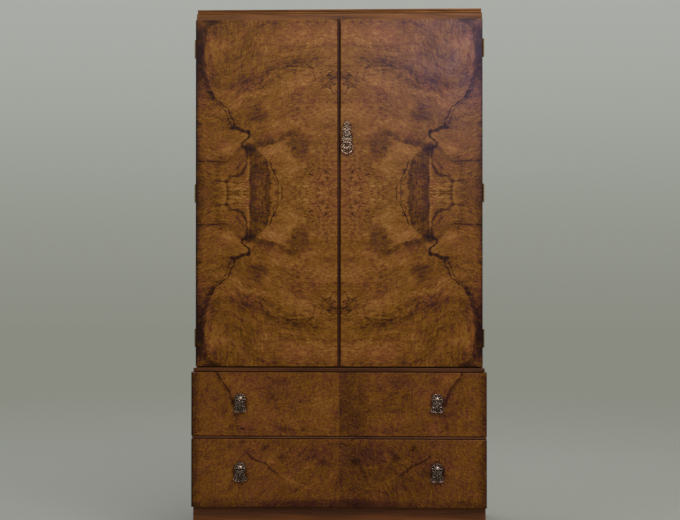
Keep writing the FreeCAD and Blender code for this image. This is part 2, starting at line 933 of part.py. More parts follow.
def box_side(drawer):
    """Left side of a drawer box, housed in the front."""
    low, high = drawer_levels(drawer)
    start = drawer_front_thickness - side_housing
    end = drawer_front_thickness + box_length
    return block(-box_half, -box_half + box_side_thickness, start, end, low, high)


def box_bottom(drawer):
    """Bottom panel of a drawer, let into the front and the sides."""
    low = drawer_levels(drawer)[0] + box_bottom_rise
    half = box_half - box_side_thickness + box_groove
    start = drawer_front_thickness - box_groove
    return block(-half, half, start, drawer_front_thickness + box_length, low, low + box_bottom_thickness)


def box_back(drawer):
    """Back of a drawer box, standing on the bottom panel between the sides."""
    low, high = drawer_levels(drawer)
    half = box_half - box_side_thickness
    end = drawer_front_thickness + box_length
    bottom = low + box_bottom_rise + box_bottom_thickness
    return block(-half, half, end - box_side_thickness, end, bottom, high - box_back_drop)


def drawer_front(drawer):
    """Overlay front, with housings for the box and holes for the pulls."""
    bottom = drawer.front_bottom
    board = block(-lower_half, lower_half, 0, drawer_front_thickness, bottom, bottom + drawer.front_height)
    board = rounded_face(board, 0, front_edge_radius)
    side = box_side(drawer)
    cuts = [side, mirrored(side), box_bottom(drawer)]
    for x, z in pull_places(drawer):
        cuts.append(rod(stem_radius + screw_play, Vector(x, 0, z), Vector(0, 1, 0), drawer_front_thickness))
    return board.cut(cuts)


def save_drawer(drawer):
    """Writes every piece of one drawer."""
    name = drawer.name
    panel = box_bottom(drawer)
    side = box_side(drawer).cut(panel)
    save(name + "_front", drawer_front(drawer))
    save(name + "_sides", side, mirrored(side))
    save(name + "_back", box_back(drawer))
    save(name + "_bottom", panel)
    plates = []
    posts = []
    for hand, (x, z) in zip(("left", "right"), pull_places(drawer)):
        place = Vector(x, 0, z)
        plates.append(rosette_plate().translated(place))
        posts.append(pull_post(drawer_front_thickness + nut_thickness).translated(place))
        posts.append(pull_nut(drawer_front_thickness).translated(place))
        save(name + "_pendant_" + hand, drawer_pendant().translated(place))
    save(name + "_pull_plates", *plates)
    save(name + "_pull_posts", *posts)


# Doors

def door_board(start, end):
    """A door's board between two places across the front, with its face edges rounded."""
    board = block(start, end, door_face, door_back, door_bottom, door_top)
    return rounded_face(board, door_face, front_edge_radius)


def left_door_panel():
    """Left door, up to its bead, with its hinge seats, screw holes and lock mortise."""
    seat_start = hinge_y - leaf_face_gap - leaf_thickness
    cuts = [leaf_seat(level, seat_start, door_back) for level in hinge_levels]
    cuts += [screw_pocket(place) for place in door_leaf_screws + bolt_case_screws(1) + bolt_case_screws(-1)]
    cuts.append(lock_mortise())
    return door_board(-upper_half, bead_edge).cut(cuts)


def meeting_bead():
    """Round-fronted bead glued on the left door's meeting edge."""
    radius = bead_width / 2
    front = door_face - bead_proud + radius
    body = block(bead_edge, left_edge, front, door_back, door_bottom, door_top)
    nose = rod(radius, Vector(bead_edge + radius, front, door_bottom), Vector(0, 0, 1), door_height)
    return fused([body, nose]).cut([strike_outline(), lock_mortise()])


def right_door_panel():
    """Right door, with its hinge seats, screw holes, lock seat, keyhole and pull hole."""
    seat_start = hinge_y - leaf_face_gap - leaf_thickness
    cuts = [mirrored(leaf_seat(level, seat_start, door_back)) for level in hinge_levels]
    cuts += [mirrored(screw_pocket(place)) for place in door_leaf_screws]
    cuts += [screw_pocket(place) for place in lock_screws()]
    cuts += [lock_outline(), keyhole_shape(door_face, door_back - lock_depth)]
    stem_start = Vector(lock_x, door_face, door_pull_level)
    cuts.append(rod(stem_radius + screw_play, stem_start, Vector(0, 1, 0), door_stem_length))
    return door_board(right_edge, upper_half).cut(cuts)


def save_plinth():
    """Writes the plinth."""
    side = plinth_side()
    save("plinth_front", plinth_front())
    save("plinth_sides", side, mirrored(side))
    save("plinth_back", plinth_back())
    save("plinth_blocks", *plinth_blocks())


def save_chest():
    """Writes the carcass of the chest."""
    side = lower_side()
    save("lower_side_left", side)
    save("lower_side_right", mirrored(side))
    save("lower_bottom", lower_bottom())
    save("lower_back", lower_back())
    save("divider_rail", *divider_rail())
    save("lower_top_rail", lower_top_rail())
    save("drawer_runners", *drawer_runners())
    save("drawer_kickers", *drawer_kickers())
    save("waist_board", waist_board())


def save_cupboard():
    """Writes the carcass of the cupboard."""
    seat_end = hinge_y + leaf_face_gap + leaf_thickness
    seats = [leaf_seat(level, cupboard_front, seat_end) for level in hinge_levels]
    side = upper_side().cut(seats + [screw_pocket(place) for place in carcass_leaf_screws])
    save("upper_side_left", side)
    save("upper_side_right", mirrored(side))
    floor_board = cupboard_board(waist_top, cupboard_floor)
    top_board = cupboard_board(cupboard_ceiling, door_top)
    save("upper_bottom", floor_board.cut([bolt_socket(-1), keeper_seat(-1)]))
    save("inner_top", top_board.cut([bolt_socket(1), keeper_seat(1)]))
    save("bolt_keepers", bolt_keeper(1), bolt_keeper(-1))
    save("upper_back", upper_back())
    save("frieze_board", frieze_board())
    save("top_slab", top_slab())
    for index, name in enumerate(shelf_names):
        save(name, shelf(index))
    save("shelf_bearers", *shelf_bearers())


def save_hinges():
    """Writes the leaves, pins and screws of the six hinges."""
    carcass_pockets = [screw_pocket(place) for place in carcass_leaf_screws]
    door_pockets = [screw_pocket(place) for place in door_leaf_screws]
    carcass_leaves = [carcass_leaf(level).cut(carcass_pockets) for level in hinge_levels]
    door_leaves = [door_leaf(level).cut(door_pockets) for level in hinge_levels]
    pins = [hinge_pin(level) for level in hinge_levels]
    carcass_screws = [screw(place) for place in carcass_leaf_screws]
    door_screws = [screw(place) for place in door_leaf_screws]
    save("hinge_carcass_leaves", *(carcass_leaves + [mirrored(piece) for piece in carcass_leaves]))
    save("hinge_pins", *(pins + [mirrored(piece) for piece in pins]))
    save("hinge_carcass_screws", *(carcass_screws + [mirrored(piece) for piece in carcass_screws]))
    save("left_hinge_leaves", *door_leaves)
    save("right_hinge_leaves", *[mirrored(piece) for piece in door_leaves])
    bolt_screws = [screw(place) for place in bolt_case_screws(1) + bolt_case_screws(-1)]
    save("left_door_screws", *(door_screws + bolt_screws))
    fixing_screws = [screw(place) for place in lock_screws()]
    save("right_door_screws", *([mirrored(piece) for piece in door_screws] + fixing_screws))


def save_doors():
    """Writes the doors with their bead, lock, bolts and pull."""
    save("left_door_panel", left_door_panel())
    save("meeting_bead", meeting_bead())
    save("lock_strike", lock_strike())
    save("left_bolt_cases", bolt_case(1), bolt_case(-1))
    save("top_bolt", slide_bolt(1))
    save("bottom_bolt", slide_bolt(-1))
    save("right_door_panel", right_door_panel())
    save("lock_case", lock_case())
    save("lock_bolt", lock_bolt())
    place = Vector(lock_x, door_face, door_pull_level)
    save("door_pull_plate", door_plate().translated(place))
    save("door_pull_post", pull_post(door_stem_length).translated(place))
    save("door_pendant", ring_pendant().translated(place))


def build():
    """Writes every piece of the tallboy."""
    os.makedirs("parts", exist_ok=True)
    save_plinth()
    save_chest()
    save_cupboard()
    save_hinges()
    save_doors()
    for drawer in (lower_drawer, upper_drawer):
        save_drawer(drawer)


build()
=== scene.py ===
"""Looks of a walnut tallboy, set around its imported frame.

The frame gives every board, hinge and drawer box. This script gives them their veneers, polish and
metal, casts the pierced brass pulls that stand for the plain ones, and sets floor, lamps and camera.
Sizes are in millimetres, and become metres where a mesh or a lamp is made.
"""

from __future__ import annotations

import logging
import math
from dataclasses import dataclass, field, replace
from enum import Enum

import bpy
from mathutils import Euler, Matrix, Vector


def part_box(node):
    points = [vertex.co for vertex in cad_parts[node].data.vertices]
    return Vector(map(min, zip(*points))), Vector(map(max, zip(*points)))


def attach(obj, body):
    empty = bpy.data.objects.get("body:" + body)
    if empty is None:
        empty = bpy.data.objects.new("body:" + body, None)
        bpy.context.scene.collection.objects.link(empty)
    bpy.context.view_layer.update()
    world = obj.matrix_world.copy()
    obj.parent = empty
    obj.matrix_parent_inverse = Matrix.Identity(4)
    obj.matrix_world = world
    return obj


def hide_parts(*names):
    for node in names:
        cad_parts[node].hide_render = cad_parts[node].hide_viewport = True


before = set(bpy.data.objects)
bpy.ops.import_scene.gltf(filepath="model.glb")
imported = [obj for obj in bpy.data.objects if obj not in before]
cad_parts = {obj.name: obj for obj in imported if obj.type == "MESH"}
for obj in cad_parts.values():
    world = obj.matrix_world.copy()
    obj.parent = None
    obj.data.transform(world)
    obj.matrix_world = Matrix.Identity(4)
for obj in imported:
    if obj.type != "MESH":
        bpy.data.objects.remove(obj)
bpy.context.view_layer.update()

MM = 0.001
LOG = logging.getLogger("tallboy")

Colour = tuple[float, float, float, float]
Point = tuple[float, float]
Triple = tuple[float, float, float]
Mesh = bpy.types.Mesh
Socket = bpy.types.NodeSocket
Spot = tuple["Signal", "Signal"]
Trio = tuple["Signal", "Signal", "Signal"]


def tint(red: int, green: int, blue: int) -> Colour:
    """Turns screen values of 0 to 255 into a linear colour.

    Args:
        red: red on screen.
        green: green on screen.
        blue: blue on screen.

    Returns:
        The colour as Blender's sockets take it.
    """
    shares = [value / 255 for value in (red, green, blue)]
    linear = [s / 12.92 if s <= 0.04045 else ((s + 0.055) / 1.055) ** 2.4 for s in shares]
    return (linear[0], linear[1], linear[2], 1.0)


class Signal:
    """A number that varies over a surface: an output socket with Python's arithmetic."""

    def __init__(self, bench: Bench, socket: Socket) -> None:
        """Keeps the socket and the bench that adds its maths."""
        self.bench = bench
        self.socket = socket

    def __add__(self, other: Signal | float) -> Signal:
        """Sum."""
        return self.bench.maths("ADD", self, other)

    __radd__ = __add__

    def __sub__(self, other: Signal | float) -> Signal:
        """Difference."""
        return self.bench.maths("SUBTRACT", self, other)

    def __rsub__(self, other: float) -> Signal:
        """Difference from a plain number."""
        return self.bench.maths("SUBTRACT", other, self)

    def __mul__(self, other: Signal | float) -> Signal:
        """Product."""
        return self.bench.maths("MULTIPLY", self, other)

    __rmul__ = __mul__

    def __truediv__(self, other: Signal | float) -> Signal:
        """Quotient."""
        return self.bench.maths("DIVIDE", self, other)

    def __pow__(self, other: float) -> Signal:
        """Power."""
        return self.bench.maths("POWER", self, other)

    def __abs__(self) -> Signal:
        """Size without its sign."""
        return self.bench.maths("ABSOLUTE", self)

    def fraction(self) -> Signal:
        """What is left over the whole number below."""
        return self.bench.maths("FRACT", self)

    def least(self, other: Signal | float) -> Signal:
        """The smaller of the two."""
        return self.bench.maths("MINIMUM", self, other)

    def most(self, other: Signal | float) -> Signal:
        """The larger of the two."""
        return self.bench.maths("MAXIMUM", self, other)

    def rise(self, low: float, high: float) -> Signal:
        """A soft step from 0 at low to 1 at high, or downwards where high is the smaller.

        Args:
            low: the value where the step is 0.
            high: the value where it is 1.

        Returns:
            The step, always within 0 and 1.
        """
        settings = {"interpolation_type": "SMOOTHSTEP"}
        inputs = {"Value": self, "From Min": low, "From Max": high}
        return Signal(self.bench, self.bench.node("ShaderNodeMapRange", settings, inputs).outputs[0])


class Bench:
    """The node tree of one finish, with the few moves that every finish is made of."""

    def __init__(self, tree: bpy.types.NodeTree) -> None:
        """Starts on an empty tree."""
        self.tree = tree
        tree.nodes.clear()

    def node(self, kind: str, settings: dict | None = None, inputs: dict | None = None) -> bpy.types.Node:
        """Adds any node.

        Args:
            kind: the node's type.
            settings: its own settings, set first. "stops" fills a ramp, and "course" a curve.
            inputs: values or links for its sockets, by name or number.

        Returns:
            The new node.
        """
        made = self.tree.nodes.new(kind)
        for name, value in (settings or {}).items():
            if name == "stops":
                self.fill_ramp(made.color_ramp, value)
            elif name == "course":
                self.fill_curve(made.mapping, value)
            else:
                setattr(made, name, value)
        for key, value in (inputs or {}).items():
            value = value.socket if isinstance(value, Signal) else value
            if isinstance(value, Socket):
                self.tree.links.new(value, made.inputs[key])
            else:
                made.inputs[key].default_value = value
        return made

    @staticmethod
    def fill_ramp(ramp: bpy.types.ColorRamp, stops: list[tuple[float, Colour]]) -> None:
        """Sets a ramp's stops, of which there are two or more.

        Args:
            ramp: the ramp.
            stops: pairs of place and colour.
        """
        while len(ramp.elements) < len(stops):
            ramp.elements.new(1.0)
        for element, (place, colour) in zip(ramp.elements, stops):
            element.position = place
            element.color = colour

    @staticmethod
    def fill_curve(mapping: bpy.types.CurveMapping, course: list[Point]) -> None:
        """Sets a float curve's points, of which there are two or more.

        Args:
            mapping: the curve.
            course: its points, rising from 0 to 1.
        """
        points = mapping.curves[0].points
        points[0].location = course[0]
        points[1].location = course[-1]
        for place in course[1:-1]:
            points.new(*place)
        for point in points:
            point.handle_type = "AUTO_CLAMPED"
        mapping.update()

    def maths(self, operation: str, *values: Signal | float) -> Signal:
        """One Math node on one or two values."""
        node = self.node("ShaderNodeMath", {"operation": operation}, dict(enumerate(values)))
        return Signal(self, node.outputs[0])

    def mottle(self, size: float, detail: float, rough: float = 0.55) -> Signal:
        """Cloudy noise about 0.5 through the whole object, whose grains have a size in millimetres."""
        return self.noise(tuple(part / size for part in self.place()), detail, rough)

    def place(self) -> Trio:
        """Where a point lies on the resting object, in millimetres.

        Returns:
            Its X, Y and Z.
        """
        here = self.node("ShaderNodeTexCoord").outputs["Object"]
        scaled = self.node("ShaderNodeVectorMath", {"operation": "SCALE"}, {"Vector": here, "Scale": 1 / MM})
        return self.parts_of(scaled.outputs[0])

    def parts_of(self, vector: Socket) -> Trio:
        """The three numbers of a vector or colour."""
        split = self.node("ShaderNodeSeparateXYZ", inputs={0: vector})
        return tuple(Signal(self, socket) for socket in split.outputs)

    def vector(self, *numbers: Signal | float) -> Socket:
        """A vector of three numbers."""
        return self.node("ShaderNodeCombineXYZ", inputs=dict(enumerate(numbers))).outputs[0]

    def noise_node(self, where: tuple, detail: float, rough: float, twist: float) -> bpy.types.Node:
        """A noise node, whose grains are about one unit of where, and finer ones down to its detail.

        Args:
            where: three numbers, which are read as a place.
            detail: how many finer layers it has.
            rough: how strong they are.
            twist: how far it is bent by itself.

        Returns:
            The node.
        """
        inputs = {"Vector": self.vector(*where), "Scale": 1.0, "Detail": detail, "Roughness": rough}
        inputs["Distortion"] = twist
        return self.node("ShaderNodeTexNoise", inputs=inputs)

    def noise(self, where: tuple, detail: float, rough: float = 0.55, twist: float = 0.0) -> Signal:
        """Cloudy noise about 0.5."""
        return Signal(self, self.noise_node(where, detail, rough, twist).outputs[0])

    def fibres(self, run: Trio, long: float, wide: float, *texture: float) -> Signal:
        """Noise whose grains are so many millimetres long and wide, in a texture as noise takes it."""
        along, side, deep = run
        return self.noise((along / long, side / wide, deep / wide), *texture)

    def grains(self, spot: Spot, wide: float, high: float, layer: float, *texture: float) -> Signal:
        """Noise on a panel, whose grains are so many millimetres wide and high."""
        return self.noise((spot[0] / wide, spot[1] / high, layer), *texture)

    def wander(self, spot: Spot, wide: float, high: float, layer: float, *texture: float) -> Trio:
        """Three noises like grains, from one node, of which the first two are about 0.

        Args:
            spot: place across a panel and up it, in millimetres.
            wide: how wide its grains are.
            high: how high they are.
            layer: which layer of the noise is read.
            texture: its detail and roughness.

        Returns:
            The three noises.
        """
        node = self.noise_node((spot[0] / wide, spot[1] / high, layer), *texture, 0.0)
        across, up, third = self.parts_of(node.outputs["Color"])
        return across - 0.5, up - 0.5, third

    def cells(self, where: tuple, feature: str = "F1") -> Signal:
        """Distance to the nearest of many points about one unit apart, or to the edge between two.

        Args:
            where: three numbers, which are read as a place.
            feature: which distance it is.

        Returns:
            The distance.
        """
        inputs = {"Vector": self.vector(*where), "Scale": 1.0}
        node = self.node("ShaderNodeTexVoronoi", {"feature": feature}, inputs)
        return Signal(self, node.outputs["Distance"])

    def course(self, value: Signal, points: tuple[Point, ...]) -> Signal:
        """A smooth line through points, read at a value.

        Args:
            value: where it is read, in the points' own units.
            points: pairs of value and result, rising by value.

        Returns:
            The line's result, held level past its ends.
        """
        starts = [point[0] for point in points]
        results = [point[1] for point in points]
        low, span = starts[0], starts[-1] - starts[0]
        base, reach = min(results), max(results) - min(results)
        line = [((start - low) / span, (result - base) / reach) for start, result in points]
        share = (value - low) / span
        node = self.node("ShaderNodeFloatCurve", {"course": line}, {"Value": share})
        return Signal(self, node.outputs[0]) * reach + base

    def ramp(self, value: Signal, stops: list[tuple[float, Colour]]) -> Socket:
        """A colour read from a ramp."""
        return self.node("ShaderNodeValToRGB", {"stops": stops}, {0: value}).outputs[0]

    def blend(self, share: Signal, under: Socket | Colour, over: Socket | Colour) -> Socket:
        """Lays one colour over another, of which the upper shows by its share."""
        return self.node("ShaderNodeMix", {"data_type": "RGBA"}, {0: share, 6: under, 7: over}).outputs[2]

    def relief(self, height: Signal, depth: float, strength: float) -> Socket:
        """A normal from a height of 0 to 1, where 1 stands as many millimetres proud as depth."""
        inputs = {"Strength": strength, "Distance": depth * MM, "Height": height}
        return self.node("ShaderNodeBump", inputs=inputs).outputs[0]

    def eye_rays(self) -> Signal:
        """1 for what the camera sees, straight on or in a reflection, and 0 for what lights the rest.

        Returns:
            The mask.
        """
        path = self.node("ShaderNodeLightPath")
        seen = Signal(self, path.outputs["Is Camera Ray"])
        for ray in ("Is Glossy Ray", "Is Transmission Ray"):
            seen = seen.most(Signal(self, path.outputs[ray]))
        return seen

    def surface(self, **sockets: object) -> None:
        """Ends the tree in one Principled shader, whose sockets are named with underscores.

        Args:
            sockets: a value or link for each socket that isn't left alone.
        """
        inputs = {name.replace("_", " "): value for name, value in sockets.items()}
        shader = self.node("ShaderNodeBsdfPrincipled", inputs=inputs)
        self.node("ShaderNodeOutputMaterial", inputs={"Surface": shader.outputs[0]})


@dataclass(frozen=True)
class Finish:
    """What covers a piece. Each kind paints its own node tree."""

    name: str

    def material(self) -> bpy.types.Material:
        """The finish as a material, made once and named apart from the frame's own.

        Returns:
            The material.
        """
        name = "finish_" + self.name
        made = bpy.data.materials.get(name)
        if made is None:
            made = bpy.data.materials.new(name)
            made.use_nodes = True
            self.paint(Bench(made.node_tree))
        return made

    def paint(self, bench: Bench) -> None:
        """Fills the node tree."""
        raise NotImplementedError

    def dress(self, node: str) -> None:
        """Gives the finish to a piece of the frame.

        Args:
            node: the piece's name.
        """
        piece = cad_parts[node]
        if not piece.material_slots:
            piece.data.materials.append(None)
        for place in piece.material_slots:
            place.material = self.material()


class Grain(Enum):
    """Which way the wood's fibres run."""

    ACROSS = (0, 1, 2)
    DEEP = (1, 0, 2)
    UPRIGHT = (2, 0, 1)


def straight_grain(bench: Bench, run: Trio, ring: float) -> Signal:
    """Tone of plain sawn or sliced wood, about 0.5.

    Args:
        bench: where the nodes go.
        run: place along the fibres and in both directions across them, in millimetres.
        ring: width of a growth ring.

    Returns:
        The tone, dark in the late wood and in the pores.
    """
    sway = bench.fibres(run, 420, 60, 2) * 6
    layer = bench.fibres(run, 900, ring * 3, 2, 0.5)
    bands = abs((layer * 9 + sway * 0.35).fraction() - 0.5) * 2
    fibre = bench.fibres(run, 46, 1.3, 3, 0.6)
    pore = bench.fibres(run, 9, 0.55, 1).rise(0.62, 0.74)
    cloud = bench.fibres(run, 260, 70, 3)
    return 0.5 + (bands - 0.5) * 0.22 + (fibre - 0.5) * 0.5 + (cloud - 0.5) * 0.5 - pore * 0.16


@dataclass(frozen=True)
class Board(Finish):
    """Straight-grained wood under polish, oil or nothing."""

    grain: Grain
    dark: Colour
    middle: Colour
    light: Colour
    ring: float
    rough: float = 0.38
    gloss: float = 0.12
    smear_size: float = 55.0

    def paint(self, bench: Bench) -> None:
        """Paints the straight grain in three colours.

        Args:
            bench: where the nodes go.
        """
        place = bench.place()
        tone = straight_grain(bench, tuple(place[axis] for axis in self.grain.value), self.ring)
        colour = bench.ramp(tone, [(0.22, self.dark), (0.5, self.middle), (0.78, self.light)])
        smear = bench.mottle(self.smear_size, 3)
        bench.surface(
            Base_Color=colour,
            Roughness=self.rough + (smear - 0.5) * 0.22 + (0.5 - tone) * 0.12,
            Normal=bench.relief(tone, 0.18, 0.5),
            Specular_IOR_Level=self.gloss,
        )


class Run(Enum):
    """Which way a line runs on its panel."""

    UP = "up"
    ACROSS = "across"


@dataclass(frozen=True)
class Vein:
    """A mineral line through the veneer, with a soft band on one side.

    The course pairs the place along the line with its offset. A line that runs up has heights and then
    distances from the seam, and one that runs across has them the other way round. The band lies on the
    side where the offset grows, or on the other side where its width is negative.
    """

    course: tuple[Point, ...]
    width: float
    tone: float
    band: float = 8.0
    band_tone: float = 0.0
    run: Run = Run.UP
    fade: float = 5.0

    def tone_at(self, bench: Bench, spot: Spot, ragged: Signal) -> Signal:
        """How much lighter or darker the line makes a place.

        Args:
            bench: where the nodes go.
            spot: distance from the seam and height in the panel's figure, in millimetres.
            ragged: noise about 0.5 that makes the line thick and thin.

        Returns:
            The change of tone, 0 away from the line.
        """
        offset, along = spot if self.run is Run.UP else reversed(spot)
        reach = 2.0
        here = bench.course(along, self.course)
        slope = bench.course(along + reach, self.course) - bench.course(along - reach, self.course)
        slope = slope / (2 * reach)
        gap = (offset - here) / (slope * slope + 1) ** 0.5
        width = self.width * (0.3 + 1.4 * ragged)
        core = (abs(gap) / width).rise(1.1, 0.3)
        low, high = self.course[0][0], self.course[-1][0]
        window = along.rise(low - self.fade, low) * along.rise(high + self.fade, high)
        drawn = core * self.tone
        if self.band_tone:
            side = math.copysign(self.width, self.band)
            band = (gap / self.band).rise(1.0, 0.05) * (gap / side).rise(-0.6, 0.6)
            drawn = drawn + (1 - core) * band * (self.band_tone * (0.4 + 1.2 * ragged))
        return window * drawn


@dataclass(frozen=True)
class Cloud:
    """A soft oval patch of another tone.

    It is given by its middle, its half sizes, and how far it is turned anticlockwise, in degrees. Its
    tone is full out to the core, a share of its size.
    """

    across: float
    height: float
    half_width: float
    half_height: float
    tone: float
    turn: float = 0.0
    core: float = 0.15

    def tone_at(self, bench: Bench, where: Socket) -> Signal:
        """The change of tone that the cloud makes at a place.

        Args:
            bench: where the nodes go.
            where: distance from the seam and height, as a vector.

        Returns:
            The change of tone, 0 outside the cloud.
        """
        inputs = {
            "Vector": where,
            "Location": (self.across, self.height, 0.0),
            "Rotation": (0.0, 0.0, math.radians(self.turn)),
            "Scale": (self.half_width, self.half_height, 1.0),
        }
        laid = bench.node("ShaderNodeMapping", {"vector_type": "TEXTURE"}, inputs)
        length = bench.node("ShaderNodeVectorMath", {"operation": "LENGTH"}, {0: laid.outputs[0]})
        return Signal(bench, length.outputs["Value"]).rise(1.0, self.core) * self.tone


def patches(*rows: tuple[float, ...]) -> tuple[Cloud, ...]:
    """Clouds from rows of their numbers."""
    return tuple(Cloud(*row) for row in rows)


def clouded(bench: Bench, tone: Signal, clouds: tuple[Cloud, ...], spot: Spot) -> Signal:
    """Lays clouds over a tone.

    Args:
        bench: where the nodes go.
        tone: the tone without them.
        clouds: what is laid over it.
        spot: distance from the seam and height.

    Returns:
        The tone with them.
    """
    where = bench.vector(*spot, 0.0)
    for cloud in clouds:
        tone = tone + cloud.tone_at(bench, where)
    return tone


def strayed(spot: Spot, *ways: tuple[Trio, float, float]) -> Spot:
    """Leads a spot astray.

    Args:
        spot: place across and up.
        ways: each wandering, with its reach in millimetres.

    Returns:
        The new spot.
    """
    across, up = spot
    for way, wide, high in ways:
        across, up = across + way[0] * wide, up + way[1] * high
    return across, up


@dataclass(frozen=True)
class Figure:
    """The drawing in one panel's veneer, in millimetres from its seam and its middle height.

    Clouds, knots and reds lie alike on both sides of the seam. One-sided clouds, and the painted shade
    and grime that the pulls leave on the wood round them, lie where they say. Knots are where the burr's
    lines and eyes crowd, and reds where the wood is redder. The drift lifts the flow of the wood by its
    distance from the seam. A leaf is darker on the right of the seam, and a foot along the lower edge.
    """

    seam: float
    middle: float
    half_width: float
    half_height: float
    face: float
    mirrored: bool
    veins: tuple[Vein, ...]
    clouds: tuple[Cloud, ...]
    knots: tuple[Cloud, ...]
    reds: tuple[Cloud, ...]
    one_sided: tuple[Cloud, ...]
    # Painted shade of the pulls on the wood round them, with grime.
    grime: tuple[Cloud, ...]
    drift: tuple[Point, ...]
    base: float
    contrast: float = 1.0
    flow: float = 60.0
    leaf: float = 0.0
    foot: float = 0.0
    hearted: bool = False


@dataclass(frozen=True)
class BurrWalnut(Finish):
    """Book-matched burr walnut veneer under a french polish.

    Gold and rust are its two families of colour, from dark to light, and stops are the tones at which
    they lie. Its lines wander slowly, in a sway and quickly, over lengths given in millimetres.
    """

    figure: Figure
    gold: tuple[Colour, ...] = (
        tint(28, 12, 1), tint(67, 37, 2), tint(107, 67, 13), tint(131, 88, 36), tint(166, 122, 72)
    )
    rust: tuple[Colour, ...] = (
        tint(31, 12, 8), tint(66, 32, 21), tint(107, 59, 27), tint(134, 83, 40), tint(167, 118, 73)
    )
    stops: tuple[float, ...] = (0.0, 0.25, 0.5, 0.72, 1.0)
    thickness: float = 1.2
    ring: float = 12.0
    slow: float = 95.0
    sway: float = 42.0
    quick: float = 16.0
    worn_size: float = 70.0
    rough: float = 0.25
    gloss: float = 0.07

    def paint(self, bench: Bench) -> None:
        """Paints the figured face, and plain walnut on the edges and back.

        Args:
            bench: where the nodes go.
        """
        x, y, z = bench.place()
        tone, red, detail = self.drawing(bench, x, z)
        gold = bench.ramp(tone, list(zip(self.stops, self.gold)))
        rust = bench.ramp(tone, list(zip(self.stops, self.rust)))
        veneer = bench.blend(red, gold, rust)
        plain_tone = straight_grain(bench, (z, x, y), self.ring)
        plain = bench.ramp(plain_tone, list(zip((0.2, 0.5, 0.9), self.rust)))
        front = y.rise(self.figure.face + 2 * self.thickness, self.figure.face + self.thickness)
        worn = bench.mottle(self.worn_size, 4)
        bench.surface(
            Base_Color=bench.blend(front, plain, veneer),
            Roughness=self.rough + (worn - 0.5) * 0.14 + (0.5 - tone) * 0.06,
            Normal=bench.relief(detail * front, 0.1, 0.3),
            Specular_IOR_Level=self.gloss,
        )

    def drawing(self, bench: Bench, x: Signal, z: Signal) -> Trio:
        """Works out the veneer's drawing.

        Args:
            bench: where the nodes go.
            x: place across the panel, in millimetres.
            z: place up the panel.

        Returns:
            The tone, the share of the redder colours, and the fine pattern for the relief.
        """
        figure = self.figure
        side = x - figure.seam
        height = z - figure.middle
        across = abs(side)
        rise = abs(height) if figure.mirrored else height
        spot = (across, rise)
        ground = spot if figure.mirrored else (side, rise)
        slow = bench.wander(ground, self.slow, self.slow, 3.0, 3, 0.5)
        quick = bench.wander(ground, self.quick, self.quick, 7.0, 3, 0.55)
        sway = bench.wander(ground, self.sway, self.sway, 9.0, 2, 0.5)
        slow_red, ragged, sway_red = slow[2], quick[2], sway[2]
        lifted = (ground[0], rise + bench.course(across, figure.drift))
        flow = strayed(lifted, (slow, figure.flow, figure.flow), (quick, 12, 10))
        tone, mottle, detail = self.grain(bench, spot, flow)

        bent = strayed(spot, (quick, 16, 16), (slow, 12, 12))
        tone = clouded(bench, tone, figure.clouds, bent)
        signed = strayed((side, height), (quick, 10, 10))
        # The pulls' painted shade on the wood round them, with grime, darkens the tone here.
        tone = clouded(bench, tone, figure.one_sided + figure.grime, signed)
        crowd = clouded(bench, mottle.rise(0.44, 0.7) * 0.35, figure.knots, bent)
        tone = tone - crowd.least(1.0) * self.burrs(bench, flow, ragged)

        line = strayed(spot, (quick, 11, 9), (sway, 13, 10))
        for vein in figure.veins:
            tone = tone + vein.tone_at(bench, line, ragged)
        if figure.hearted:
            tone = self.heart(bench, tone, line)
        # Darker towards the panel's outer ends over about 26 mm, with a ragged boundary; the last 5 mm at the
        # outer edge carry painted shade of the rounded edge.
        ends = figure.half_width - across + (slow_red - 0.5) * 30
        tone = tone - ends.rise(26, -4) * 0.2 - (figure.half_width - across).rise(5, 0) * 0.2
        if figure.leaf:
            edge = side + (slow_red - 0.5) * 60 + height * 0.1
            tone = tone - side.rise(-1, 1) * edge.rise(86, 24) * figure.leaf
        if figure.foot:
            tone = tone - (height + figure.half_height + (slow_red - 0.5) * 16).rise(34, 0) * figure.foot
        red = slow_red.rise(0.46, 0.68) * 0.3 + sway_red.rise(0.46, 0.62) * 0.3 + mottle.rise(0.5, 0.36) * 0.4
        red = clouded(bench, red, figure.reds, bent)
        return tone, (red - detail * 4).most(0.0).least(1.0), detail

    def grain(self, bench: Bench, spot: Spot, flow: Spot) -> Trio:
        """The clouded ground, its mottle, and its fine dashes and ripples.

        Args:
            bench: where the nodes go.
            spot: distance from the seam and height in the figure.
            flow: the same spot, led along the wood's flow.

        Returns:
            The ground's tone, the mottle, and the fine pattern.
        """
        cloud = bench.grains(flow, 88, 56, 11, 3, 0.5)
        patch = bench.grains(flow, 34, 20, 13, 3, 0.5)
        mottle = bench.grains(flow, 13, 8, 17, 4, 0.62, 0.5)
        dash = bench.grains(flow, 12, 4.4, 23, 3, 0.62)
        speck = bench.grains(spot, 6.5, 3.6, 27, 3, 0.7)
        ripple = bench.grains(flow, 4.6, 34, 29, 2, 0.5)
        thread = bench.grains(flow, 24, 2.6, 43, 2, 0.6).rise(0.6, 0.74)
        upright = spot[0].rise(130, 240) * spot[1].rise(270, 340) * 0.7 if self.figure.mirrored else 0.25
        fine = dash + (ripple - dash) * upright
        coarse = (cloud - 0.5) * 0.5 + (patch - 0.5) * 0.42 + (mottle - 0.5) * 0.5
        tone = self.figure.base + coarse * self.figure.contrast + (mottle - 0.5) * 0.12
        detail = (fine - 0.5) * 0.6 + (speck - 0.5) * 0.6 + (ripple - 0.5) * 0.16 - thread * 0.14
        return tone + detail, mottle, detail

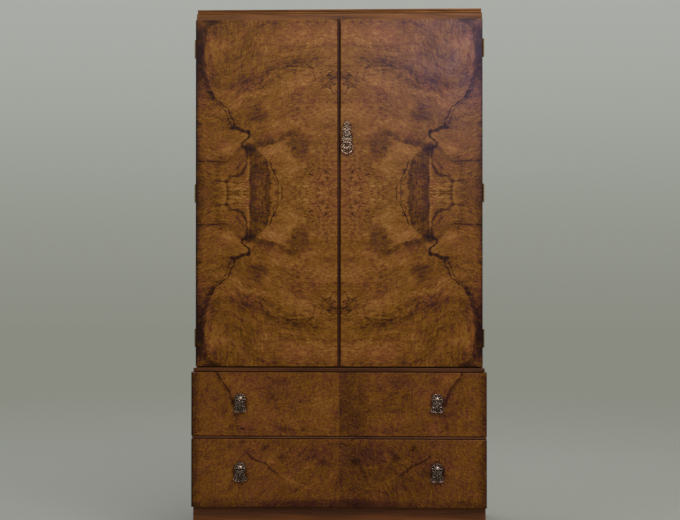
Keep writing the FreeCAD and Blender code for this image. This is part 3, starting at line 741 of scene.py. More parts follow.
    def burrs(self, bench: Bench, flow: Spot, ragged: Signal) -> Signal:
        """How dark the burr's curling lines and eyes are.

        Args:
            bench: where the nodes go.
            flow: a spot led along the wood's flow.
            ragged: noise that breaks up the eyes.

        Returns:
            How much darker they make the tone.
        """
        across, up = flow
        twist = bench.wander(flow, 11, 9, 31, 3, 0.6)
        broken = twist[2]
        net = strayed((across / 23, up / 15), (twist, 1.5, 1.5))
        curls = bench.cells((*net, 37.0), "DISTANCE_TO_EDGE").rise(0.1, 0.0)
        eyes = bench.cells((across / 10, up / 8, 41.0)).rise(0.3, 0.1)
        flecks = bench.cells((across / 15, up / 10, 53.0)).rise(0.3, 0.08)
        shade = curls * (0.06 + broken.rise(0.36, 0.62) * 0.3) + eyes * ragged * 0.12
        return shade + broken.rise(0.5, 0.8) * 0.12 - flecks * 0.16

    def heart(self, bench: Bench, tone: Signal, spot: Spot) -> Signal:
        """Draws the door's spindle with the pale strip and the ribs outside it.

        Args:
            bench: where the nodes go.
            tone: the veneer's tone so far.
            spot: distances from the seam and from the middle height.

        Returns:
            The tone with the heart drawn in.
        """
        across, rise = spot
        outer = 231.0
        inner = bench.course(rise, ((0, 178), (49, 180), (81, 188), (105, 205), (119, 230)))
        inside = (across - inner).rise(-2, 2) * across.rise(outer + 1, outer - 2) * rise.rise(121, 112)
        rim = across.rise(outer - 18, outer) + (across - inner).rise(16, 2)
        streak = bench.grains(spot, 4, 60, 41, 2)
        spindle = (streak - 0.5) * 0.44 - 0.21 - rim * 0.04
        strip = across.rise(outer, outer + 3) * across.rise(outer + 12, outer + 8)
        strip = strip * rise.rise(34, 42) * rise.rise(98, 84)
        ribs = bench.grains(spot, 70, 5.2, 47, 1).rise(0.4, 0.6) - 0.4
        ribbed = across.rise(outer, outer + 4) * across.rise(322, 290) * rise.rise(46, 34)
        return tone + inside * spindle + strip * 0.16 + ribbed * (ribs * 0.34 + 0.06)


@dataclass(frozen=True)
class AgedMetal(Finish):
    """Metal that has darkened with age and rubbed bright on its sharp edges."""

    hollow: Colour
    body: Colour
    rubbed: Colour
    rough: float
    lacquer: float = 0.0
    lacquer_rough: float = 0.16
    spot_size: float = 2.6

    def wear(self, bench: Bench, spots: Signal) -> tuple[Signal, Signal]:
        """How tarnished and how rubbed each place is, by how far its edge stands out.

        Args:
            bench: where the nodes go.
            spots: noise about 0.5.

        Returns:
            How tarnished and how rubbed it is, each from 0 to 1.
        """
        shape = bench.node("ShaderNodeNewGeometry")
        stand = Signal(bench, shape.outputs["Pointiness"]) + (spots - 0.5) * 0.05
        return stand.rise(0.5, 0.44), stand.rise(0.5, 0.56)

    def paint(self, bench: Bench) -> None:
        """Paints tarnish and rubbed spots over the metal's own colour.

        Args:
            bench: where the nodes go.
        """
        spots = bench.mottle(self.spot_size, 4, 0.6)
        dark, bright = self.wear(bench, spots)
        tarnish = bench.blend(dark, self.body, self.hollow)
        bench.surface(
            Base_Color=bench.blend(bright, tarnish, self.rubbed),
            Metallic=1.0 - dark * 0.4,
            Roughness=self.rough + dark * 0.25 - bright * 0.08 + (spots - 0.5) * 0.2,
            Normal=bench.relief(spots, 0.05, 0.5),
            Coat_Weight=self.lacquer,
            Coat_Roughness=self.lacquer_rough,
        )


@dataclass(frozen=True)
class CastBrass(AgedMetal):
    """Cast brass, dark in its openings and on its flanks, and rubbed where hands touch its front."""

    opening: float = 2.6

    def wear(self, bench: Bench, spots: Signal) -> tuple[Signal, Signal]:
        """Tarnish by how shut in and how turned away a place is, and rubbing where it faces the front.

        Args:
            bench: where the nodes go.
            spots: noise about 0.5.

        Returns:
            How tarnished and how rubbed it is, each from 0 to 1.
        """
        settings = {"samples": 12, "only_local": True}
        shade = bench.node("ShaderNodeAmbientOcclusion", settings, {"Distance": self.opening * MM})
        free = Signal(bench, shade.outputs["AO"])
        facing = bench.parts_of(bench.node("ShaderNodeTexCoord").outputs["Normal"])[1] * -1
        dark = free.rise(0.92, 0.55).most(facing.rise(0.72, 0.2))
        bright = facing.rise(0.9, 1.0) * free.rise(0.85, 1.0) * spots.rise(0.36, 0.66)
        return dark, bright


@dataclass(frozen=True)
class StudioFloor(Finish):
    """Pale matt floor that passes into the backdrop's colour a few metres out."""

    colour: Colour
    far_colour: Colour
    near: float = 700.0
    far: float = 5200.0
    haze_size: float = 900.0
    rough: float = 0.9

    def paint(self, bench: Bench) -> None:
        """Paints the floor with a very faint mottle, and the backdrop's own glow beyond it.

        Args:
            bench: where the nodes go.
        """
        x, y, _ = bench.place()
        haze = bench.mottle(self.haze_size, 3)
        darker = tuple(0.96 * part for part in self.colour[:3]) + (1.0,)
        inputs = {"Base Color": bench.blend(haze, self.colour, darker), "Roughness": self.rough}
        ground = bench.node("ShaderNodeBsdfPrincipled", inputs=inputs)
        glow = bench.node("ShaderNodeEmission", inputs={"Color": self.far_colour, "Strength": 1.0})
        away = ((x * x + y * y) ** 0.5).rise(self.near, self.far)
        seen = bench.eye_rays()
        inputs = {0: away * seen, 1: ground.outputs[0], 2: glow.outputs[0]}
        mix = bench.node("ShaderNodeMixShader", inputs=inputs)
        bench.node("ShaderNodeOutputMaterial", inputs={"Surface": mix.outputs[0]})


def box_mm(node: str) -> tuple[Vector, Vector]:
    """Lowest and highest corner of a piece of the frame, in millimetres."""
    low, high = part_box(node)
    return low / MM, high / MM


def shown(name: str, data: bpy.types.ID) -> bpy.types.Object:
    """A new object in the scene.

    Args:
        name: its name.
        data: its mesh, lamp or camera.

    Returns:
        The object.
    """
    made = bpy.data.objects.new(name, data)
    bpy.context.scene.collection.objects.link(made)
    return made


def scroll(
    centre: Point, wide: float, tight: float, start: float, end: float, steps: int = 26
) -> list[Point]:
    """Points along a spiral whose radius goes from wide to tight.

    Args:
        centre: its middle, as X and Z.
        wide: the radius at its start.
        tight: the radius at its end.
        start: the angle at its start, in degrees from the right and anticlockwise.
        end: the angle at its end.
        steps: how many stretches it has.

    Returns:
        The points, as X and Z.
    """
    points = []
    for i in range(steps + 1):
        share = i / steps
        angle = math.radians(start + (end - start) * share)
        radius = wide + (tight - wide) * share
        points.append((centre[0] + radius * math.cos(angle), centre[1] + radius * math.sin(angle)))
    return points


def arc(centre: Point, radius: float, start: float, end: float, steps: int) -> list[Point]:
    """Points along an arc, given as a scroll is."""
    return scroll(centre, radius, radius, start, end, steps)


def eased(line: list[Point]) -> list[Point]:
    """The same line with its corners rounded off twice and its ends kept.

    Args:
        line: points along it, as X and Z.

    Returns:
        The new points.
    """
    for _ in range(2):
        bends = []
        for (ax, az), (bx, bz) in zip(line, line[1:]):
            bends.append((0.75 * ax + 0.25 * bx, 0.75 * az + 0.25 * bz))
            bends.append((0.25 * ax + 0.75 * bx, 0.25 * az + 0.75 * bz))
        line = [line[0]] + bends + [line[-1]]
    return line


@dataclass
class Casting:
    """A brass casting, modelled as rods and beads and then melted into one skin.

    Places are X and Z in millimetres from the hub of its pull, and Y from the face of the wood. Strokes
    and beads lie at its level of Y. A stroke with fewer points than coarse is rounded off first.
    """

    name: str
    level: float
    coarse: int = 12
    smoothing: int = 3
    vertices: list[Vector] = field(default_factory=list)
    faces: list[tuple[int, ...]] = field(default_factory=list)

    def wrap(self, start: int, rings: int, sides: int) -> None:
        """Covers rings of points with faces, and closes the first and the last.

        Args:
            start: the first ring's first point.
            rings: how many rings there are.
            sides: how many points each has.
        """
        for ring in range(rings - 1):
            for turn in range(sides):
                a = start + ring * sides + turn
                b = start + ring * sides + (turn + 1) % sides
                self.faces.append((a, b, b + sides, a + sides))
        last = start + (rings - 1) * sides
        self.faces.append(tuple(range(start + sides - 1, start - 1, -1)))
        self.faces.append(tuple(range(last, last + sides)))

    def rod(self, line: list[Vector], radii: list[float], sides: int = 10) -> None:
        """A closed rod along a line.

        Args:
            line: points along its middle.
            radii: its radius at each point.
            sides: how many sides it has.
        """
        start = len(self.vertices)
        for index, point in enumerate(line):
            ahead = line[min(index + 1, len(line) - 1)] - line[max(index - 1, 0)]
            ahead.normalize()
            guide = Vector((0, 1, 0)) if abs(ahead.y) < 0.9 else Vector((1, 0, 0))
            side = ahead.cross(guide).normalized()
            up = side.cross(ahead)
            radius = radii[index]
            for turn in range(sides):
                angle = 2 * math.pi * turn / sides
                self.vertices.append(point + side * math.cos(angle) * radius + up * math.sin(angle) * radius)
        self.wrap(start, len(line), sides)

    def turned(self, sides: int, *profile: Point) -> None:
        """A piece turned about the hub's axis, from pairs of Y and radius."""
        self.rod([Vector((0, y, 0)) for y, _ in profile], [radius for _, radius in profile], sides)

    def stroke(self, line: list[Point], radius: float, tip: float | None = None, lift: float = 0.0) -> None:
        """A rod that lies flat.

        Args:
            line: points along its middle.
            radius: its radius at its start.
            tip: its radius at its end, or None where it stays the same.
            lift: how far behind the casting's level it lies.
        """
        tip = radius if tip is None else tip
        if len(line) < self.coarse:
            line = eased(line)
        steps = len(line) - 1
        radii = [radius + (tip - radius) * i / steps for i in range(steps + 1)]
        self.rod([Vector((x, self.level + lift, z)) for x, z in line], radii)

    def twins(self, *strokes: tuple) -> None:
        """Strokes, each with its line, radius and tip, on the left and on the right.

        Args:
            strokes: the strokes on the right.
        """
        for line, *radii in strokes:
            for side in (1, -1):
                self.stroke([(side * x, z) for x, z in line], *radii)

    def bead(self, x: float, z: float, size: Triple, lift: float = 0.0) -> None:
        """A round or flattened bead.

        Args:
            x: place of its middle.
            z: height of its middle.
            size: its three radii.
            lift: how far behind the casting's level it lies.
        """
        rings, sides = 8, 12
        start = len(self.vertices)
        for ring in range(1, rings):
            climb = math.pi * ring / rings
            around = math.sin(climb)
            for turn in range(sides):
                angle = 2 * math.pi * turn / sides
                out = (around * math.cos(angle), around * math.sin(angle), -math.cos(climb))
                spot = (x + size[0] * out[0], self.level + lift + size[1] * out[1], z + size[2] * out[2])
                self.vertices.append(Vector(spot))
        self.wrap(start, rings - 1, sides)

    def beads(self, *beads: tuple[float, float, Triple]) -> None:
        """Beads, each in the middle, or on the left and on the right.

        Args:
            beads: each one's X, Z and three radii.
        """
        for x, z, size in beads:
            for side in (1, -1) if x else (1,):
                self.bead(side * x, z, size)

    def melted(self, finish: Finish, voxel: float = 0.26) -> Mesh:
        """Melts everything into one smooth skin.

        Args:
            finish: what covers the casting.
            voxel: size of its finest detail, in millimetres.

        Returns:
            The mesh, in metres.
        """
        rough = bpy.data.meshes.new(self.name + "_rough")
        rough.from_pydata(self.vertices, [], self.faces)
        holder = shown(rough.name, rough)
        melt = holder.modifiers.new("melt", "REMESH")
        melt.mode = "VOXEL"
        melt.voxel_size = voxel
        ease = holder.modifiers.new("ease", "SMOOTH")
        ease.factor = 0.5
        ease.iterations = self.smoothing
        graph = bpy.context.evaluated_depsgraph_get()
        mesh = bpy.data.meshes.new_from_object(holder.evaluated_get(graph))
        bpy.data.objects.remove(holder)
        bpy.data.meshes.remove(rough)
        mesh.name = self.name
        mesh.transform(Matrix.Scale(MM, 4))
        mesh.materials.clear()
        mesh.materials.append(finish.material())
        return mesh


def set_castings(name: str, mesh: Mesh, hubs: list[Vector], node: str, body: str) -> None:
    """Puts a casting, or two alike, in place of a node of the frame.

    Args:
        name: the new piece's name.
        mesh: the casting.
        hubs: where its hubs lie, in metres.
        node: the frame's node that it stands for.
        body: the body that it moves with.
    """
    joined = bpy.data.meshes.new(name)
    count = len(mesh.vertices)
    vertices = [vertex.co + hub for hub in hubs for vertex in mesh.vertices]
    faces = [tuple(i + count * k for i in face.vertices) for k in range(len(hubs)) for face in mesh.polygons]
    joined.from_pydata(vertices, [], faces)
    joined.shade_smooth()
    joined.materials.append(mesh.materials[0])
    piece = shown(name, joined)
    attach(piece, body)
    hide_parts(node)
    LOG.info("%s: %d faces on %s", name, len(faces), body)


@dataclass
class PullCastings:
    """What every pull shares: its brasses, its pendant's pivot and eye, and its post."""

    brass: Finish
    knob: Finish
    pivot: float = -6.5
    eye_radius: float = 2.9
    pin_half: float = 4.2
    stem_radius: float = 2.2
    nut_radius: float = 4.6

    def eye(self, casting: Casting) -> None:
        """The pendant's eye round its pin, with the neck below it.

        Args:
            casting: the pendant.
        """
        ring = arc((self.pivot, 0), self.eye_radius * 0.72, 0, 360, 18)
        for x in (-1, 0, 1):
            casting.rod([Vector((x, y, z)) for y, z in ring], [0.85] * len(ring))
        neck = [Vector((0, self.pivot, -self.eye_radius)), Vector((0, self.pivot, -5.6))]
        casting.rod(neck, [1.5, 1.5])

    def post(self, stem_end: float, nut_start: float | None) -> Mesh:
        """The turned post with two knobbed ears, its pin and its stem through the wood.

        Args:
            stem_end: how deep the stem goes behind the face of the wood.
            nut_start: where its nut starts, or None where it has no nut.

        Returns:
            The casting's mesh.
        """
        post = Casting("pull_post", self.pivot)
        post.turned(20, (-2.0, 5.0), (-2.7, 5.1), (-3.2, 4.3), (-3.8, 3.2), (-4.6, 2.6), (-5.6, 1.2))
        for side in (-1, 1):
            post.rod([Vector((side * 2.9, -3.0, 0)), Vector((side * 3.4, self.pivot, 0))], [2.3, 1.9], 12)
        post.beads((3.5, 0, (1.55, 2.9, 3.0)), (4.9, 0, (0.9, 1.5, 1.5)))
        pin = [Vector((side * self.pin_half, self.pivot, 0)) for side in (-1, 1)]
        post.rod(pin, [1.0, 1.0])
        post.turned(14, (-2.4, self.stem_radius), (stem_end, self.stem_radius))
        if nut_start is not None:
            post.turned(6, (nut_start, self.nut_radius), (stem_end, self.nut_radius))
        return post.melted(self.knob, 0.3)

    def hub(self, pendant: str, panel: str) -> Vector:
        """Where a pendant's axis meets the face of its panel, in metres."""
        low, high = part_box(pendant)
        return Vector(((low.x + high.x) / 2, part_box(panel)[0].y, high.z - self.eye_radius * MM))


@dataclass
class DrawerPulls(PullCastings):
    """The four drawer pulls: a pierced rosette, a post and a bell-shaped pendant."""

    rim_radius: float = 13.7
    boss_radius: float = 6.0
    petals: int = 8
    petal_middle: float = 9.7
    petal_half_length: float = 3.3
    petal_half_width: float = 2.9
    drop: float = 34.5
    lobe: tuple[Triple, ...] = (
        (1.4, 2.0, 1.0), (4.4, 1.3, 1.35), (8.4, 1.5, 1.4), (12.2, 2.4, 1.25), (15.6, 3.9, 0.95)
    )

    def rosette(self) -> Mesh:
        """The round pierced plate: a beaded rim, looped petals with bars between, and a boss.

        Returns:
            The casting's mesh.
        """
        plate = Casting("rosette", -1.0)
        behind = -0.05
        plate.stroke(arc((0, 0), self.rim_radius - 0.4, 0, 360, 48), 0.95)
        plate.stroke(arc((0, 0), self.boss_radius, 0, 360, 32), 1.0)
        plate.turned(24, (-0.2, self.boss_radius), (-1.7, 5.6))
        for x, z in arc((0, 0), self.rim_radius, 0, 360, 2 * self.petals)[:-1]:
            plate.bead(x, z, (1.25, 1.0, 1.25), behind)
        for index in range(self.petals):
            angle = 2 * math.pi * (index + 0.5) / self.petals
            out = Vector((math.cos(angle), math.sin(angle)))
            loop = []
            for px, pz in arc((0, 0), 1.0, 0, 360, 20):
                radial = self.petal_middle + self.petal_half_length * px
                tangent = self.petal_half_width * pz
                loop.append((out.x * radial - out.y * tangent, out.y * radial + out.x * tangent))
            plate.stroke(loop, 0.62, lift=behind)
            seam = 2 * math.pi * index / self.petals
            reaches = (self.boss_radius, 9.0, 12.9)
            bar = [(radius * math.cos(seam), radius * math.sin(seam)) for radius in reaches]
            plate.stroke(bar, 0.75, 0.5)
        return plate.melted(self.brass)

    def bell(self) -> Mesh:
        """The pendant: pierced scrolls and leaves about a stem, between two flanks, over a lobed foot.

        Returns:
            The casting's mesh.
        """
        bell = Casting("bell", self.pivot)
        foot = -self.drop
        self.eye(bell)
        bell.stroke([(0, -6.0), (0, -31.0)], 0.95, 0.8)
        bell.twins(
            ([(1.2, -7.0), (4.4, -11.0), (6.2, -15.6), (5.2, -20.6), (3.2, -25.4), (4.4, -31.0)], 1.0),
            ([(0.6, -12.0), (2.6, -14.4), (2.4, -18.0), (0.6, -20.6)], 0.8),
            (scroll((5.2, -8.4), 3.4, 1.0, 160, -190), 0.9, 0.65),
            ([(7.4, -6.6), (9.6, -9.4), (11.0, -13.4), (12.2, -17.8), (13.8, -22.2), (16.0, -26.0)], 1.05),
            (scroll((15.2, -28.6), 2.9, 0.9, 75, -235), 1.0, 0.7),
            (scroll((9.2, -25.4), 3.7, 1.0, 60, -290), 0.85, 0.6),
            (scroll((9.0, -16.2), 2.7, 0.9, 200, 540), 0.8, 0.55),
            ([(4.8, -12.0), (8.0, -11.6), (10.4, -12.4)], 0.7),
            ([(5.0, -20.6), (8.4, -20.4), (12.2, -19.4)], 0.8),
            ([(4.4, -30.4), (8.0, -30.2), (12.4, -31.0)], 0.8),
        )
        for side in (1, -1):
            lobe = [Vector((side * x, self.pivot, foot + z)) for x, z, _ in self.lobe]
            bell.rod(lobe, [radius for _, _, radius in self.lobe])
        bell.beads(
            (0, -16.2, (1.5, 1.2, 2.4)), (0, -25.6, (1.3, 1.15, 1.9)), (0, foot + 1.5, (1.3, 1.25, 1.4)),
            (5.4, -8.6, (1.2, 1.2, 1.2)), (15.0, -28.4, (1.2, 1.15, 1.2)), (9.2, -25.4, (1.3, 1.15, 1.3)),
        )
        return bell.melted(self.brass)

    def build(self) -> None:
        """Casts the pulls and hangs them on both drawers."""
        rosette = self.rosette()
        bell = self.bell()
        front = box_mm("lower_drawer_front")
        nut_end = box_mm("lower_drawer_pull_posts")[1].y
        post = self.post(nut_end - front[0].y, front[1].y - front[0].y)
        for drawer in ("lower_drawer", "upper_drawer"):
            hubs = []
            for hand in ("left", "right"):
                pendant = drawer + "_pendant_" + hand
                hubs.append(self.hub(pendant, drawer + "_front"))
                set_castings(pendant + "_cast", bell, hubs[-1:], pendant, pendant)
            set_castings(drawer + "_rosettes", rosette, hubs, drawer + "_pull_plates", drawer)
            set_castings(drawer + "_posts", post, hubs, drawer + "_pull_posts", drawer)


@dataclass
class DoorPull(PullCastings):
    """The right door's pull: a tall pierced plate with the keyhole, a post and a ring pendant."""

    ring_drop: float = 30.5
    ring_radius: float = 16.0
    keyhole_rise: float = 11.6

    def plate(self) -> Mesh:
        """The plate: a diamond finial, two scrolls, the keyhole's shield and two wings.

        Returns:
            The casting's mesh.
        """
        plate = Casting("door_plate", -1.0)
        plate.twins(([(0, 37.4), (3.6, 34.9), (6.0, 31.5), (3.6, 28.1), (0, 25.4)], 1.1))
        plate.stroke(arc((0, 31.4), 3.1, 0, 360, 22), 0.75)
        plate.stroke([(0, 25.6), (0, 20.6)], 1.5, 1.2)
        plate.twins(
            (scroll((5.9, 19.0), 5.6, 1.5, 140, -260), 1.05, 0.7),
            ([(0, 24.6), (2.6, 22.6), (2.2, 18.6), (3.4, 15.0)], 0.8, 0.7),
            ([(4.6, 13.2), (7.9, 10.0), (7.2, 5.0), (8.9, 1.6)], 0.95),
            (scroll((8.9, -4.8), 4.5, 1.4, 110, -230), 0.95, 0.65),
            ([(4.6, -5.8), (5.4, -8.2), (8.0, -9.6)], 0.8),
        )
        plate.beads(
            (6.2, 31.5, (1.1, 0.95, 1.1)), (0, 37.6, (1.2, 0.95, 1.2)), (6.1, 19.0, (1.6, 1.0, 1.6)),
            (8.9, -4.9, (1.5, 0.95, 1.5)),
        )
        self.shield(plate)
        plate.turned(26, (-0.2, 6.2), (-1.5, 5.6))
        return plate.melted(self.brass)

    def shield(self, plate: Casting) -> None:
        """Rims round the keyhole, each in the keyhole's own shape, over a cross bar.

        Args:
            plate: the door's plate.
        """
        top = self.keyhole_rise
        rim = [(1.7, top - 6.6)] + arc((0, top), 2.5, -52, 232, 18) + [(-1.7, top - 6.6)]
        plate.stroke(rim, 0.75, lift=-0.25)
        for grow in (1.6, 3.4):
            outer = [(x * (1 + grow / 2.5), top + (z - top) * (1 + grow / 6)) for x, z in rim]
            plate.stroke(outer, 0.65, lift=0.3)
        plate.stroke([(-4.6, top - 7.6), (0, top - 8.2), (4.6, top - 7.6)], 1.1)

    def pendant(self) -> Mesh:
        """The ring pendant: leafed shoulders over a ring filled with scrolls.

        Returns:
            The casting's mesh.
        """
        ring = Casting("ring_pendant", self.pivot)
        self.eye(ring)
        centre = (0.0, -self.ring_drop)
        rim = self.ring_radius - 1.25
        ring.stroke(arc(centre, rim, 0, 360, 60), 1.1)
        for start, end in ((196, 264), (276, 344)):
            sweep = arc(centre, rim - 0.15, start, end, 18)
            radii = [1.1 + 0.65 * math.sin(math.pi * i / 18) for i in range(19)]
            ring.rod([Vector((x, self.pivot, z)) for x, z in sweep], radii)
        ring.twins(
            (scroll((4.6, -9.0), 3.6, 1.3, 165, -200), 0.95, 0.7),
            (scroll((9.2, -11.0), 3.0, 1.0, 120, -230), 0.85, 0.6),
            ([(2.2, -6.4), (2.4, -10.6), (5.0, -14.6), (8.6, -17.4)], 0.95),
            (scroll((6.0, -24.4), 4.4, 1.0, 200, 540), 0.85, 0.6),
            (scroll((5.6, -36.2), 4.9, 1.1, 160, -190), 0.85, 0.6),
            ([(0, -31.2), (4.6, -29.6), (9.0, -30.4), (13.6, -28.4)], 0.9),
        )
        for line, radius, tip in (
            ([(0, -5.6), (0, -10.0), (0, -15.4)], 1.5, 1.0),
            ([(0, -15.4), (0, -20.0), (0, -29.4)], 0.8, 0.8),
            ([(0, -33.0), (0, -38.0), (0, -44.6)], 0.8, 1.2),
        ):
            ring.stroke(line, radius, tip)
        ring.beads(
            (9.2, -11.0, (1.1, 1.15, 1.1)), (7.6, -15.2, (1.9, 1.2, 1.3)), (6.0, -24.4, (1.2, 1.15, 1.2)),
            (5.6, -36.0, (1.4, 1.2, 1.4)), (0, -31.2, (2.3, 1.2, 2.0)),
        )
        return ring.melted(self.brass)

    def build(self) -> None:
        """Casts the pull and sets it on the right door."""
        hub = self.hub("door_pendant", "right_door_panel")
        stem_end = (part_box("door_pull_post")[1].y - hub.y) / MM
        set_castings("door_plate_cast", self.plate(), [hub], "door_pull_plate", "right_door")
        set_castings("door_post_cast", self.post(stem_end, None), [hub], "door_pull_post", "right_door")
        set_castings("door_pendant_cast", self.pendant(), [hub], "door_pendant", "door_pendant")


@dataclass
class Veneers:
    """The figured faces: two doors from one flitch, and two drawer fronts from another."""

    seam: float = 1.5
    pull_out: float = 254.0

    def figure(self, panel: str, **drawing: object) -> Figure:
        """A figure that fits a panel.

        Args:
            panel: the node whose left edge, height and face it takes.
            drawing: everything else that the figure holds.

        Returns:
            The figure.
        """
        low, high = box_mm(panel)
        return Figure(
            seam=self.seam, middle=(low.z + high.z) / 2, half_width=-low.x, half_height=(high.z - low.z) / 2,
            face=low.y, **drawing,
        )

    def door_figure(self) -> Figure:
        """The doors' figure, mirrored sideways and about their middle height.

        Returns:
            The figure.
        """
        border = (
            Vein(((246, 330), (258, 336), (270, 342), (291, 346), (311, 351), (340, 354), (378, 355),
                  (411, 350), (430, 341), (446, 322)), 9.0, -0.24, 30, -0.16),
            Vein(((168, 276), (181, 274), (201, 282), (220, 291), (233, 307), (249, 324), (262, 334)),
                 2.4, -0.42),
            Vein(((178, 284), (201, 291), (220, 301), (233, 317), (249, 332), (262, 339)), 1.6, -0.3),
            Vein(((114, 244), (127, 252), (136, 243), (149, 233), (160, 234)), 4.4, -0.4),
            Vein(((-4, 291), (17, 289), (30, 291), (37, 286), (46, 265), (62, 246), (81, 240), (101, 236),
                  (120, 243)), 4.6, -0.27, -14, -0.09),
            Vein(((230, 158), (245, 161), (262, 165), (284, 168)), 6.0, -0.4, 9, -0.1, Run.ACROSS),
        )
        feather = Vein(((128, 146), (140, 140), (156, 133), (178, 127), (219, 114)),
                       2.0, -0.24, 25, -0.24, Run.ACROSS, 30)
        cracks = (
            Vein(((-6, 149), (6, 149), (30, 159), (49, 165), (68, 175), (84, 180)), 2.0, -0.36),
            Vein(((-6, 157), (20, 160), (40, 170), (60, 168)), 1.6, -0.3),
            Vein(((254, 9), (262, 16), (270, 21), (280, 26), (290, 23), (299, 15), (310, 6)), 2.2, -0.15),
            Vein(((66, 322), (90, 327), (118, 328), (146, 324)), 2.4, -0.2, 14, -0.08, Run.ACROSS),
            Vein(((292, 84), (310, 81), (340, 81), (371, 82)), 2.0, -0.24, 10, -0.06, Run.ACROSS),
            Vein(((40, 22), (60, 26), (84, 21), (100, 27)), 1.6, -0.24, run=Run.ACROSS),
        )
        clouds = patches(
            (50, 90, 250, 520, 0.1, 0, 0.3), (384, 360, 44, 160, -0.2, 0, 0.3), (384, 70, 40, 200, -0.1),
            (330, 462, 130, 34, -0.24), (75, 398, 60, 28, 0.1), (172, 434, 40, 20, -0.08),
            (232, 296, 104, 22, -0.1, -20), (96, 338, 90, 13, -0.07, -7), (268, 236, 56, 12, 0.1, -38),
            (180, 366, 70, 13, 0.07, 10), (60, 158, 60, 13, 0.07, 6), (310, 210, 40, 12, 0.08, 14),
            (212, 256, 88, 13, 0.13, -8), (96, 286, 50, 16, 0.08, -12), (60, 236, 60, 14, -0.08, -6),
            (176, 317, 30, 13, -0.12, -25), (206, 204, 42, 27, -0.16), (158, 180, 40, 13, 0.17, -27),
            (160, 112, 50, 20, 0.13, -12), (240, 118, 24, 18, -0.26, 0, 0.2), (286, 112, 30, 28, 0.09),
            (132, 66, 50, 46, 0.1), (104, 126, 36, 48, -0.2, 0, 0.55), (104, 180, 30, 9, 0.1),
            (366, 182, 16, 14, -0.16), (306, 94, 18, 9, -0.14), (262, 70, 22, 40, -0.06),
            (90, 350, 90, 10, -0.05), (290, 380, 60, 60, 0.05), (335, 398, 6, 30, 0.12),
        )
        knots = patches(
            (18, 280, 50, 46, 0.9), (60, 20, 90, 110, 1.0), (50, 310, 90, 50, 0.6), (156, 20, 26, 78, 0.8),
            (220, 276, 120, 44, 0.75, -20), (320, 200, 50, 60, 0.4), (110, 326, 60, 16, 0.6),
            (40, 130, 40, 40, 0.4), (120, 220, 60, 26, 0.5),
        )
        reds = patches(
            (236, 284, 110, 34, 0.5, -20), (360, 330, 40, 140, 0.6), (206, 202, 40, 30, 0.4),
            (170, 150, 60, 20, 0.4, -20), (70, 420, 110, 40, 0.3), (120, 60, 70, 50, -0.3),
            (36, 20, 50, 110, 0.45), (275, 0, 46, 60, -0.8),
        )
        return self.figure(
            "left_door_panel", mirrored=True, veins=border + (feather,) + cracks,
            clouds=clouds, knots=knots, reds=reds, hearted=True, base=0.475, flow=36,
            # Painted shade behind the door's pull, with grime, and a small painted dark spot behind its
            # keyhole.
            grime=patches((20, 142, 20, 50, -0.3, 0, 0.55), (20, 156, 5, 8, -0.6, 0, 0.6)),
            one_sided=patches((0, -330, 460, 260, -0.05), (210, 310, 190, 170, -0.05)),
            drift=((0, 0), (100, 6), (170, 22), (230, 45), (300, 74), (371, 66)),
        )

    def grime(self, height: float) -> tuple[Cloud, ...]:
        """Painted shade of a drawer's pulls on the wood behind them, and grime from years of polish."""
        # Painted shade of each pull on the wood, with grime, centred on its hub.
        places = (side * self.pull_out - self.seam for side in (-1, 1))
        return patches(*((place, height, 25, 33, -0.34, 0, 0.5) for place in places))

    def upper_drawer_figure(self) -> Figure:
        """The upper drawer: a vein slants in from each end of its top edge.

        Returns:
            The figure.
        """
        slant = Vein(((-2, 275), (18, 277), (34, 286), (54, 299), (70, 310), (84, 318)),
                     4.0, -0.24, 16, -0.08)
        clouds = patches(
            (154, 57, 46, 21, -0.1), (175, 19, 26, 16, -0.07), (145, -66, 30, 13, -0.13),
            (103, 44, 10, 7, -0.13), (158, -14, 14, 10, -0.08), (80, -14, 13, 11, -0.06),
            (93, -66, 12, 9, -0.13), (108, -62, 14, 6, 0.1), (277, -59, 13, 14, -0.16),
            (267, -32, 18, 12, -0.1), (150, -36, 110, 20, 0.07, 6), (284, 62, 26, 17, 0.1),
            (245, -62, 16, 22, 0.06), (222, 4, 40, 50, 0.06),
        )
        knots = patches(
            (248, -60, 30, 24, 0.8), (140, -66, 60, 18, 0.5), (150, 40, 60, 36, 0.3), (60, 10, 50, 60, 0.3),
        )
        reds = patches(
            (190, 0, 400, 200, 0.25, 0, 0.9), (245, -60, 24, 26, 0.8), (150, 52, 60, 30, 0.4),
            (140, -66, 60, 20, 0.4),
        )
        one_sided = patches(
            (60, 25, 20, 62, -0.06, 20), (-50, -14, 60, 80, 0.08), (200, 0, 220, 100, -0.04),
            (46, 52, 14, 22, 0.06),
        )
        return self.figure(
            "upper_drawer_front", mirrored=False, veins=(slant,), clouds=clouds, knots=knots, reds=reds,
            # Painted shade of the two pulls, with grime.
            one_sided=one_sided, grime=self.grime(3), base=0.445, contrast=0.48, leaf=0.13,
            drift=((0, 0), (120, 10), (260, -6), (381, 20)),
        )

